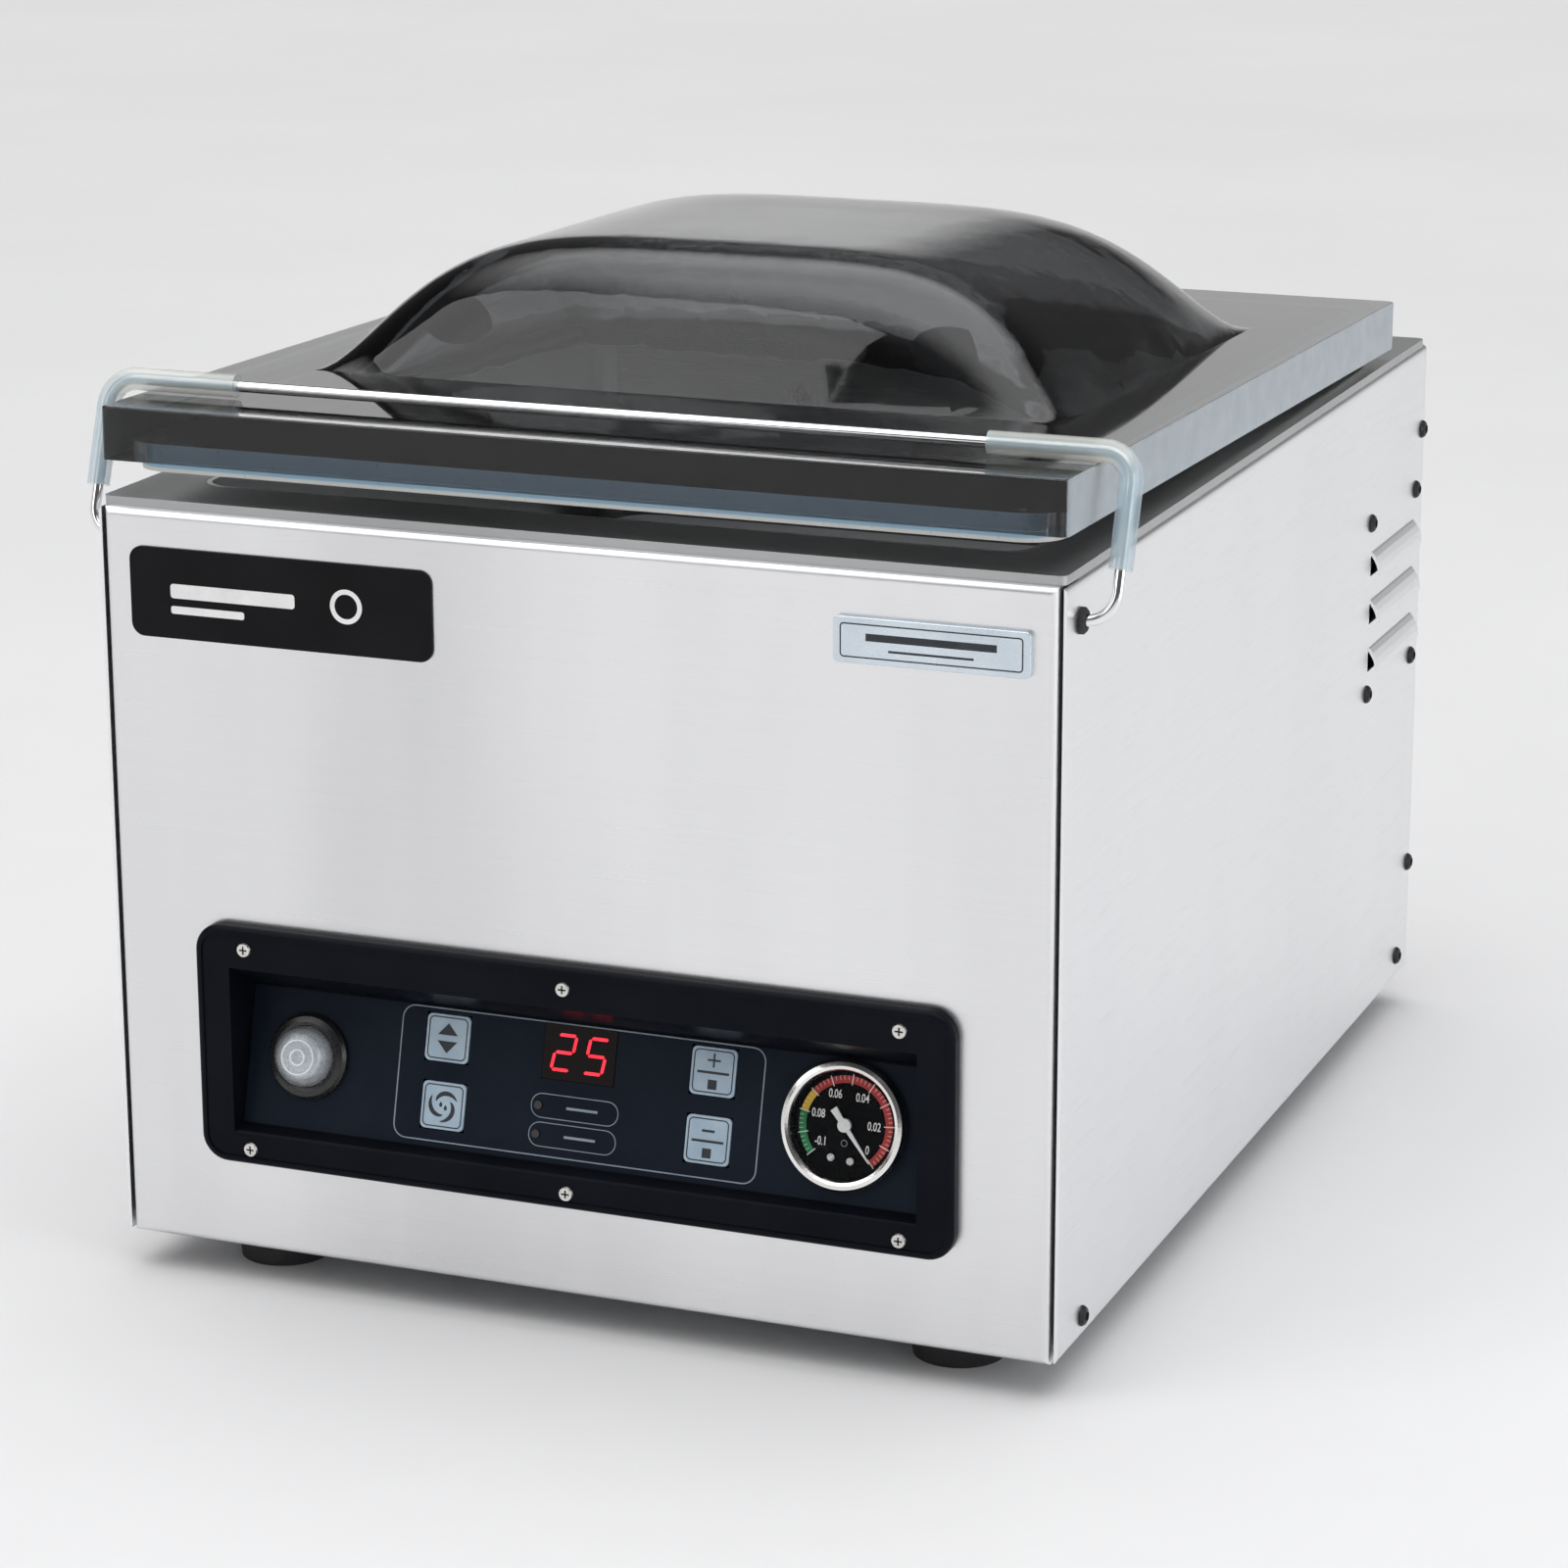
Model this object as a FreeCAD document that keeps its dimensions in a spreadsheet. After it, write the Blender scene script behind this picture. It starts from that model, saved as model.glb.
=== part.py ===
import FreeCAD, Part
import math
import os

import Sketcher
from FreeCAD import Placement, Rotation, Vector

# A countertop chamber vacuum sealer. Every piece is drawn in the cabinet's own frame: X to the right,
# Y back from the front panel's face, Z up from the panels' lower edge. Pieces on the sloping keypad,
# on the lid and on the bail have frames of their own. The last step puts each piece in the part's frame,
# whose origin is on the surface under the feet, at the middle of the whole.

SIZES = {
    # cabinet
    "body_width": 360,
    "body_depth": 480,
    "panel_height": 272.6,
    "front_sheet": 1.5,
    "side_sheet": 1.2,
    "front_half_width": 177.5,
    "front_flange": 12,
    "side_flange": 15,
    "side_front": 1.5,
    "sheet_bend": 3,
    "screw_hole": 2.2,
    "screw_shank": 2,
    "screw_head_radius": 3.7,
    "screw_head_height": 2.1,
    "foot_height": 14,
    "foot_radius": 18,
    "foot_spread": 133,
    "foot_front": 35,
    "foot_back": 445,
    "base_sheet": 2,
    "base_height": 20,
    "base_front": 17,
    "base_back": 476.5,
    # deck and chamber
    "deck_half_width": 179,
    "deck_front": 3,
    "deck_back": 476.5,
    "deck_thick": 3.2,
    "chamber_half_width": 157,
    "chamber_front": 30,
    "chamber_back": 388.5,
    "chamber_depth": 105,
    "chamber_corner": 12,
    "chamber_foot": 10,
    "chamber_wall": 2,
    "weld_gap": 0.2,
    "port_across": -63,
    "port_up": 250,
    "filler_half_width": 140,
    "filler_front": 92,
    "filler_back": 376,
    "filler_thick": 12,
    # lid, closed
    "lid_half_width": 179.2,
    "lid_front": 3,
    "lid_back": 424,
    "lid_bottom": 280.3,
    "lid_thick": 19,
    "lid_corner": 3,
    "lid_ajar": 1.09,
    "dome_half_width": 145,
    "dome_front": 101,
    "dome_back": 334,
    "dome_height": 50.5,
    "dome_wall": 8,
    "dome_front_slope": 60,
    "dome_back_slope": 110,
    "pad_spread": 95.3,
    "pad_back": 122.4,
    "pad_up": 317.3,
    "pad_lean": 53.5,
    "pad_half_width": 13,
    "pad_half_height": 8.7,
    "pad_thick": 3,
    "pad_glue": 0.15,
    "gasket_inset": 7,
    "gasket_width": 8,
    "gasket_corner": 14,
    "gasket_groove": 6,
    "gasket_proud": 4.2,
    "hinge_back": 440,
    "hinge_up": 283.5,
    "hinge_spread": 100,
    "hinge_leaf": 40,
    "pin_radius": 3,
    "pin_play": 0.05,
    "knuckle_radius": 6,
    # bail
    "bail_back": 16,
    "bail_up": 258.4,
    "bail_lean": 19.5,
    "bail_reach": 56.5,
    "bail_half_width": 191.5,
    "bail_bend": 10,
    "bail_wire_radius": 2,
    "sleeve_radius": 4.15,
    "sleeve_start": 141,
    "sleeve_end": 17.6,
    # control panel
    "bezel_half_width": 144.5,
    "bezel_low": 34.5,
    "bezel_high": 124,
    "bezel_proud": 5,
    "bezel_corner": 10,
    "rim_proud": 5.6,
    "rim_width": 2.8,
    "rim_round": 2.2,
    "lip_round": 1.5,
    "lip_overshoot": 0.12,
    "bezel_screw_spread": 124.7,
    "bezel_screw_low": 40.3,
    "bezel_screw_high": 115.8,
    "bezel_screw_hole": 1.7,
    "recess_half_width": 131,
    "recess_low": 47,
    "recess_high": 108.5,
    "recess_wall": 2.5,
    "keypad_back": 1.7,
    "keypad_up": 47.8,
    "keypad_lean": 14.8,
    "keypad_length": 51.2,
    "keypad_sheet": 0.5,
    "key_side": 17,
    "key_play": 0.3,
    "key_proud": 0.9,
    "window_left": -15,
    "window_right": 12.6,
    "window_low": 30.2,
    "window_high": 49.9,
    "window_play": 0.2,
    "led_across": -15.3,
    "led_upper": 20.5,
    "led_lower": 10.3,
    "led_radius": 1.5,
    "led_play": 0.1,
    "board_out": -10.4,
    "board_thick": 1.6,
    "gauge_across": 100,
    "gauge_along": 27.5,
    "gauge_radius": 23,
    "gauge_hole": 21,
    "gauge_lens": 19,
    "switch_across": -106.5,
    "switch_along": 27,
    "collar_radius": 15.5,
    "boot_radius": 11,
    "boot_play": 0.4,
    "badge_thick": 0.8,
    "nameplate_thick": 2.5,
    # seal bar
    "seal_half_length": 152,
    "seal_front": 46,
    "seal_width": 20,
    "seal_low": 236,
    "seal_high": 260,
    "lift_spread": 110,
    "rod_radius": 6,
    "lift_radius": 13,
    "lift_height": 44,
    "lift_bottom": 6,
    "rod_start": 18,
    "pad_drop": 2.5,
    # fan
    "fan_side": 80,
    "fan_depth": 25,
    "fan_back": 430,
    "fan_up": 178,
    "fan_hole_spacing": 71.5,
    "fan_bore": 38,
    "fan_blade_count": 7,
    "fan_blade_pitch": 38,
    "louvre_front": 396,
    "louvre_length": 67,
    "louvre_top": 201.6,
    "louvre_pitch": 20,
    "louvre_tall": 9.5,
    "louvre_proud": 4.2,
    "louvre_sheet": 1.2,
    # rear
    "inlet_across": 110,
    "inlet_up": 40,
    "inlet_rear": 481.5,
    "rear_inset": 1.4,
    "rear_sheet": 1.5,
    "air_slot_pitch": 9,
    # machinery
    "pump_low": 19.4,
    "pump_across": -20,
    "motor_radius": 52,
    "motor_up": 82,
    "valve_across": -54,
    "valve_back": 437,
    "hose_up": 155,
    "screw_head": 0.6,
}

doc = FreeCAD.newDocument("vacuum_chamber_sealer")
sheet = doc.addObject("Spreadsheet::Sheet", "Sizes")
for row, (alias, number) in enumerate(SIZES.items(), start=1):
    sheet.set(f"A{row}", alias)
    sheet.set(f"B{row}", str(number))
    sheet.setAlias(f"B{row}", alias)
doc.recompute()


class Size:
    """A length or angle that carries its number and the sheet expression that gives it."""

    def __init__(self, number, text=None):
        self.number = float(number)
        self.text = text or f"({float(number)})"

    def __add__(self, other):
        return joined(self, "+", other, self.number + of(other))

    def __radd__(self, other):
        return joined(other, "+", self, of(other) + self.number)

    def __sub__(self, other):
        return joined(self, "-", other, self.number - of(other))

    def __rsub__(self, other):
        return joined(other, "-", self, of(other) - self.number)

    def __mul__(self, other):
        return joined(self, "*", other, self.number * of(other))

    def __rmul__(self, other):
        return joined(other, "*", self, of(other) * self.number)

    def __truediv__(self, other):
        return joined(self, "/", other, self.number / of(other))

    def __neg__(self):
        return joined(0, "-", self, -self.number)


def of(value):
    """The plain number of a Size or a number."""
    return value.number if isinstance(value, Size) else float(value)


def text_of(value):
    return value.text if isinstance(value, Size) else f"({float(value)})"


def joined(first, sign, second, number):
    return Size(number, f"({text_of(first)} {sign} {text_of(second)})")


class Cells:
    """The sheet's cells as Size values, by alias."""

    def __getattr__(self, alias):
        return Size(getattr(sheet, alias), f"Sizes.{alias}")


d = Cells()
half_width = d.body_width / 2
deck_top = d.panel_height + d.deck_thick
chamber_low = deck_top - d.chamber_depth
chamber_floor = chamber_low + d.chamber_wall
lid_top = d.lid_bottom + d.lid_thick
screw_front = d.bezel_proud + d.screw_head
rear_face = d.body_depth - d.rear_inset

DATUM = Placement(Vector(0, -of((d.inlet_rear - screw_front) / 2), of(d.foot_height)), Rotation())
X_AXIS = Vector(1, 0, 0)
Y_AXIS = Vector(0, 1, 0)
Z_AXIS = Vector(0, 0, 1)
ALONG = {"x": Rotation(Y_AXIS, 90), "y": Rotation(X_AXIS, -90), "z": Rotation()}


def leaning(back, up, lean):
    """A frame whose X is the cabinet's, and whose Y climbs from a point, leaning back from upright."""
    return DATUM * Placement(Vector(0, of(back), of(up)), Rotation(X_AXIS, 90 - of(lean)))


def swung(back, up, angle):
    """The cabinet's frame turned about a line along X, front edge up."""
    centre = Vector(0, of(back), of(up))
    return DATUM * Placement(Vector(), Rotation(X_AXIS, -of(angle)), centre)


THROUGH = (Size(-6), Size(2))
KEYPAD = leaning(d.keypad_back, d.keypad_up, d.keypad_lean)
BAIL = leaning(d.bail_back, d.bail_up, d.bail_lean)
LID = swung(d.hinge_back, d.hinge_up, d.lid_ajar)

pieces = {}


def finish(label, thing, frame=DATUM, at=(0, 0, 0), turn=None):
    """Names a finished sub-part and puts it in the part's frame."""
    thing.Label = label
    offset = Placement(Vector(*[of(v) for v in at]), turn or Rotation())
    thing.Placement = frame * offset
    pieces[label] = thing
    return thing


def bind(thing, prop, value):
    thing.setExpression(prop, text_of(value))


# Part primitives and booleans


def box(x, y, z):
    """A block between two sizes on each axis."""
    block = doc.addObject("Part::Box", "Block")
    for prop, axis, (low, high) in zip(("Length", "Width", "Height"), "xyz", (x, y, z)):
        bind(block, prop, high - low)
        bind(block, f"Placement.Base.{axis}", low)
    return block


def around(centre, width):
    """The two ends of a stretch of a given width around its middle."""
    return (centre - width / 2, centre + width / 2)


def cylinder(radius, length, at, along="z"):
    """A round bar that starts at a point and runs along one axis."""
    bar = doc.addObject("Part::Cylinder", "Bar")
    bind(bar, "Radius", radius)
    bind(bar, "Height", length)
    bar.Placement.Rotation = ALONG[along]
    for axis, value in zip("xyz", at):
        bind(bar, f"Placement.Base.{axis}", value)
    return bar


def cone(low_radius, high_radius, length, at, along="z"):
    """A round bar that tapers."""
    bar = doc.addObject("Part::Cone", "Taper")
    bind(bar, "Radius1", low_radius)
    bind(bar, "Radius2", high_radius)
    bind(bar, "Height", length)
    bar.Placement.Rotation = ALONG[along]
    for axis, value in zip("xyz", at):
        bind(bar, f"Placement.Base.{axis}", value)
    return bar


def fuse(things):
    if len(things) == 1:
        return things[0]
    joined_up = doc.addObject("Part::MultiFuse", "Joined")
    joined_up.Shapes = list(things)
    return joined_up


def cut(base, tools):
    left = doc.addObject("Part::Cut", "Cut")
    left.Base = base
    left.Tool = fuse(tools)
    return left


def common(things):
    shared = doc.addObject("Part::MultiCommon", "Shared")
    shared.Shapes = list(things)
    return shared


def group(things):
    """Separate solids that share one sub-part."""
    together = doc.addObject("Part::Compound", "Group")
    together.Links = list(things)
    return together


# PartDesign bodies


ROLES = {"z": "XY_Plane", "y": "XZ_Plane", "x": "YZ_Plane"}


class Outline:
    """A sketch on one of a body's origin planes, moved along the plane's normal."""

    def __init__(self, body, axis, start):
        plane = next(f for f in body.Origin.OriginFeatures if f.Role == ROLES[axis])
        self.sketch = body.newObject("Sketcher::SketchObject", "Outline")
        self.sketch.AttachmentSupport = [(plane, "")]
        self.sketch.MapMode = "FlatFace"
        self.sketch.setExpression("AttachmentOffset.Base.z", text_of(start))

    def fix(self, kind, curve, point, value):
        number = self.sketch.addConstraint(Sketcher.Constraint(kind, curve, point, of(value)))
        self.sketch.setExpression(f"Constraints[{number}]", text_of(value))

    def circle(self, across, along, radius):
        curve = self.sketch.addGeometry(
            Part.Circle(Vector(of(across), of(along), 0), Z_AXIS, of(radius)), False
        )
        number = self.sketch.addConstraint(Sketcher.Constraint("Radius", curve, of(radius)))
        self.sketch.setExpression(f"Constraints[{number}]", text_of(radius))
        self.fix("DistanceX", curve, 3, across)
        self.fix("DistanceY", curve, 3, along)

    def polygon(self, corners):
        points = [Vector(of(x), of(y), 0) for x, y in corners]
        first = self.sketch.GeometryCount
        for start, end in zip(points, points[1:] + points[:1]):
            self.sketch.addGeometry(Part.LineSegment(start, end), False)
        count = len(points)
        for n in range(count):
            joint = Sketcher.Constraint("Coincident", first + n, 2, first + (n + 1) % count, 1)
            self.sketch.addConstraint(joint)
            self.fix("DistanceX", first + n, 1, corners[n][0])
            self.fix("DistanceY", first + n, 1, corners[n][1])

    def rectangle(self, across, along):
        (x0, x1), (y0, y1) = across, along
        self.polygon([(x0, y0), (x1, y0), (x1, y1), (x0, y1)])


def new_body():
    return doc.addObject("PartDesign::Body", "Body")


def padded(axis, span, draw):
    """A body padded along an axis over a span, from the outline that draw adds to its sketch."""
    body = new_body()
    low, high = span
    start = low if axis != "y" else -high
    outline = Outline(body, axis, start)
    draw(outline)
    pad = body.newObject("PartDesign::Pad", "Pad")
    pad.Profile = outline.sketch
    bind(pad, "Length", high - low)
    outline.sketch.Visibility = False
    doc.recompute()
    return body


def turned(profile):
    """A body turned about its own Z from (radius, height) corners."""
    body = new_body()
    outline = Outline(body, "y", 0)
    outline.polygon(profile)
    turn = body.newObject("PartDesign::Revolution", "Turn")
    turn.Profile = outline.sketch
    turn.ReferenceAxis = (outline.sketch, ["V_Axis"])
    turn.Angle = 360
    doc.recompute()
    return body


def rounded(body, radius, choose):
    """Rounds the edges of a body's last feature that choose picks."""
    base = body.Tip
    names = [f"Edge{n}" for n, edge in enumerate(base.Shape.Edges, start=1) if choose(edge)]
    fillet = body.newObject("PartDesign::Fillet", "Fillet")
    fillet.Base = (base, names)
    bind(fillet, "Radius", radius)
    doc.recompute()
    return body


def runs_along(axis):
    """Picks straight edges that run along one axis."""

    def choose(edge):
        span = edge.BoundBox
        lengths = {"x": span.XLength, "y": span.YLength, "z": span.ZLength}
        own = lengths.pop(axis)
        return own > 0.01 and max(lengths.values()) < 0.001

    return choose


def lies_at(axis, place):
    """Picks edges that lie whole in the plane at one place on an axis."""

    def choose(edge):
        span = edge.BoundBox
        low, high = {
            "x": (span.XMin, span.XMax),
            "y": (span.YMin, span.YMax),
            "z": (span.ZMin, span.ZMax),
        }[axis]
        return abs(low - of(place)) < 0.01 and abs(high - of(place)) < 0.01

    return choose


def slab(axis, across, along, span, corner, extra=()):
    """A rectangular plate with round corners, less any tools in extra."""

    def draw(outline):
        outline.rectangle(across, along)

    body = padded(axis, span, draw)
    if of(corner):
        rounded(body, corner, runs_along(axis))
    if extra:
        return cut(body, list(extra))
    return body


# Swept pieces: a route of straight runs joined by round bends


def route(points, bend):
    """A wire along points, with a round bend at each one between the ends."""
    corners = [Vector(*[of(v) for v in p]) for p in points]
    edges = []
    start = corners[0]
    for before, corner, after in zip(corners, corners[1:], corners[2:]):
        back = (before - corner).normalize()
        ahead = (after - corner).normalize()
        turn = math.pi - back.getAngle(ahead)
        reach = of(bend) * math.tan(turn / 2)
        entry = corner + back * reach
        leave = corner + ahead * reach
        inward = (back + ahead).normalize()
        middle = corner + inward * (of(bend) / math.cos(turn / 2) - of(bend))
        edges.append(Part.LineSegment(start, entry).toShape())
        edges.append(Part.Arc(entry, middle, leave).toShape())
        start = leave
    edges.append(Part.LineSegment(start, corners[-1]).toShape())
    return Part.Wire(edges)


def swept(points, bend, radius):
    """A round bar or hose along a route."""
    wire = route(points, bend)
    path = doc.addObject("Part::Feature", "Route")
    path.Shape = wire
    ring = doc.addObject("Part::Circle", "Section")
    bind(ring, "Radius", radius)
    first, second = [Vector(*[of(v) for v in p]) for p in points[:2]]
    ring.Placement = Placement(first, Rotation(Z_AXIS, second - first))
    sweep = doc.addObject("Part::Sweep", "Sweep")
    sweep.Sections = [ring]
    sweep.Spine = (path, [f"Edge{n}" for n in range(1, len(wire.Edges) + 1)])
    sweep.Solid = True
    sweep.Frenet = False
    doc.recompute()
    return sweep


# Cabinet


def front_panel():
    """A folded tray: the face, and a flange back from each of its four edges, open for the controls."""
    width = (-d.front_half_width, d.front_half_width)
    height = (Size(0), d.panel_height)
    outer = slab("y", width, height, (Size(0), d.front_flange), 0)
    rounded(outer, d.sheet_bend, lies_at("y", 0))
    inside = d.front_half_width - d.front_sheet
    inner = slab(
        "y",
        (-inside, inside),
        (d.front_sheet, d.panel_height - d.front_sheet),
        (d.front_sheet, d.front_flange + 1),
        0,
    )
    rounded(inner, d.front_sheet, lies_at("y", d.front_sheet))
    room = d.recess_half_width + d.recess_wall + 1
    tall = (d.recess_low - 4, d.recess_high + 4)
    opening = box((-room, room), (Size(-1), d.front_flange), tall)
    holes = [cylinder(d.bezel_screw_hole, 4, (x, -1, z), "y") for x, z in bezel_screw_places()]
    finish("front_panel", cut(outer, [inner, opening, *holes]))


# How soon a louvre's hood bulges out below its top
LOUVRE_BULGE = 2.2


def louvre(level):
    """A pressed hood, flush at its top and proudest at its foot, and the room that it leaves open."""
    top = d.louvre_top - level * d.louvre_pitch
    end = d.louvre_front + d.louvre_length
    low = top - d.louvre_tall
    sheet = d.louvre_sheet
    root = half_width - d.side_sheet / 2
    reach = d.louvre_proud + d.side_sheet / 2

    def bulge(head, foot, proud):
        """A curve that leaves the panel at head and stands proud of it at foot."""
        points = []
        for share in (0.0, 0.12, 0.28, 0.5, 0.75, 1.0):
            out = proud * (1 - (1 - share) ** LOUVRE_BULGE)
            points.append((root + out, head - (head - foot) * share))
        return points

    def hood(outline):
        outline.polygon([(root, low), *reversed(bulge(top + 0.6, low, reach))])

    def hollow(outline):
        foot = low - 0.6
        rim = bulge(top - sheet, foot, reach - sheet)
        outline.polygon([(root - 2, foot), *reversed(rim), (root - 2, top - sheet)])

    hood_body = padded("y", (d.louvre_front, end), hood)
    hollow_body = padded("y", (d.louvre_front - 1, end - sheet), hollow)
    return hood_body, hollow_body


def side_panels():
    """Folded trays, each with three louvres, holes for its screws and one for the bail."""
    top = d.panel_height
    depth = (d.side_front, d.body_depth)
    outer = slab("x", depth, (Size(0), top), (half_width - d.side_flange, half_width), 0)
    back = lies_at("y", d.body_depth)
    face = lies_at("x", half_width)
    front = lies_at("y", d.side_front)
    rounded(outer, d.sheet_bend, lambda edge: face(edge) and not front(edge))
    inside = half_width - d.side_sheet
    far = half_width - d.side_flange - 1
    long = (d.side_front + 14, d.body_depth - d.side_sheet)
    hollow = box((far, inside), long, (d.side_sheet, top - d.side_sheet))
    notch = box((far, inside), (d.side_front - 1, d.side_front + 15), (Size(-1), top + 1))
    rear = box((far, half_width - 6), (d.body_depth - 4, d.body_depth + 1), (Size(-1), top + 1))
    hoods, slots = zip(*[louvre(level) for level in range(3)])
    holes = [
        cylinder(d.screw_hole, 6, (inside - 2, y, z), "x")
        for y, z in side_screw_places() + fan_screw_places()
    ]
    pivot = cylinder(3.3, 6, (inside - 2, d.bail_back, d.bail_up), "x")
    tray = cut(outer, [hollow, notch, rear])
    right = cut(fuse([tray, *hoods]), [*slots, *holes, pivot])
    finish("right_side_panel", right)
    left = doc.addObject("Part::Mirroring", "Mirrored")
    left.Source = right
    left.Normal = X_AXIS
    left.Label = "left_side_panel"
    pieces["left_side_panel"] = left


def side_screw_places():
    """(Y, Z) of the screws that hold each side panel."""
    return [(Size(473.5), Size(238)), (Size(473.5), Size(49)), (Size(459), Size(11)), (Size(28.4), Size(8.5))]


def fan_screw_places():
    step = d.fan_hole_spacing / 2
    return [(d.fan_back + a * step, d.fan_up + b * step) for a in (-1, 1) for b in (-1, 1)]


def button_screw(y, z, length, side):
    """A domed socket screw whose head bears on a side panel, right for 1 and left for -1."""
    wide = d.screw_head_radius
    tall = d.screw_head_height
    socket = (1.6, 0.9)
    dome = turned(
        [(0, 0), (wide, 0), (wide, 0.5), (wide - 0.7, tall - 0.6), (1.7, tall), socket, (0, socket[1])]
    )
    stem = turned([(0, 0), (d.screw_shank, 0), (d.screw_shank, -length), (0, -length)])
    screw = fuse([dome, stem])
    face = half_width.number * side
    turn = Rotation(Y_AXIS, 90 * side)
    screw.Placement = Placement(Vector(face, of(y), of(z)), turn)
    return screw


def screws():
    held = [button_screw(y, z, 3.2, side) for y, z in side_screw_places() for side in (-1, 1)]
    finish("side_panel_screws", group(held))
    held = [button_screw(y, z, 8, 1) for y, z in fan_screw_places()]
    finish("fan_screws", group(held))


def side_hole(wide, y, z, side):
    """A screw hole through an upright flange that ends at wide, right for 1 and left for -1."""
    length = 8
    start = wide + 2 - length if side > 0 else -wide - 2
    return cylinder(d.screw_hole, length, (start, y, z), "x")


def rear_panel():
    """A plate with side flanges, open for the power inlet and the air."""
    wide = half_width - 1.5
    back = rear_face
    plate = box((-wide, wide), (back - d.rear_sheet, back), (Size(1.3), d.panel_height - 1.3))
    deep = (back - 15, back - d.rear_sheet)
    tall = (d.base_height + 2, d.panel_height - 2)
    flanges = [
        box((wide - d.rear_sheet, wide), deep, tall),
        box((-wide, d.rear_sheet - wide), deep, tall),
    ]
    through = (back - 3, back + 1)
    inlet = box(around(d.inlet_across, Size(29)), through, around(d.inlet_up, Size(20)))
    slots = []
    for row in range(8):
        low = Size(60) + row * d.air_slot_pitch
        slots.append(box((Size(-130), Size(-60)), through, (low, low + 3)))
    holes = [side_hole(wide, y, z, side) for y, z in side_screw_places()[:2] for side in (-1, 1)]
    behind_fan = [cylinder(d.screw_hole, 6, (wide - 4, y, z), "x") for y, z in fan_screw_places()]
    finish("rear_panel", cut(fuse([plate, *flanges]), [inlet, *slots, *holes, *behind_fan]))


def base():
    """The floor tray that the side panels screw to, on four rubber feet."""
    wide = half_width - 1.3
    low = d.side_sheet
    block = box((-wide, wide), (d.base_front, d.base_back), (low, d.base_height))
    inner = wide - d.base_sheet
    above = (low + d.base_sheet, d.base_height + 1)
    room = box((-inner, inner), (d.base_front - 1, d.base_back + 1.5), above)
    behind = (d.base_back - 13.5, d.base_back + 1.5)
    corners = [box(around(side * (half_width - 2), Size(8)), behind, above) for side in (-1, 1)]
    holes = [side_hole(wide, y, z, side) for y, z in side_screw_places()[2:] for side in (-1, 1)]
    finish("base_plate", cut(block, [room, *corners, *holes]))
    feet = []
    for x in (-d.foot_spread, d.foot_spread):
        for y in (d.foot_front, d.foot_back):
            foot = cone(d.foot_radius - 1.5, d.foot_radius, d.foot_height + low, (x, y, -d.foot_height))
            bore = cylinder(5, 6, (x, y, -d.foot_height - 1))
            feet.append(cut(foot, [bore]))
    finish("rubber_feet", group(feet))


def pan(across, along, span, corner, foot):
    """A block with round corners and a round lower edge."""
    body = slab("z", across, along, span, corner)
    return rounded(body, foot, lies_at("z", span[0]))


def deck_and_chamber():
    wide = d.chamber_half_width
    gap = d.weld_gap
    hole = slab(
        "z",
        (-wide - gap, wide + gap),
        (d.chamber_front - gap, d.chamber_back + gap),
        (d.panel_height - 1, deck_top + 1),
        d.chamber_corner + gap,
    )
    deck = slab(
        "z",
        (-d.deck_half_width, d.deck_half_width),
        (d.deck_front, d.deck_back),
        (d.panel_height, deck_top),
        3,
        [hole],
    )
    finish("deck_plate", deck)
    wall = d.chamber_wall
    outer = pan(
        (-wide, wide),
        (d.chamber_front, d.chamber_back),
        (chamber_low, deck_top),
        d.chamber_corner,
        d.chamber_foot,
    )
    inner = pan(
        (wall - wide, wide - wall),
        (d.chamber_front + wall, d.chamber_back - wall),
        (chamber_floor, deck_top + 5),
        d.chamber_corner - wall,
        d.chamber_foot - wall,
    )
    port = cylinder(8.2, 12, (d.port_across, d.chamber_back - 6, d.port_up), "y")
    finish("chamber_tub", cut(outer, [inner, port]))
    across = (-d.filler_half_width, d.filler_half_width)
    along = (d.filler_front, d.filler_back)
    plates = []
    for count in range(2):
        low = chamber_floor + d.weld_gap + count * (d.filler_thick + d.weld_gap)
        plates.append(slab("z", across, along, (low, low + d.filler_thick), 14))
    finish("filler_plates", group(plates))


# Control panel


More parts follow.
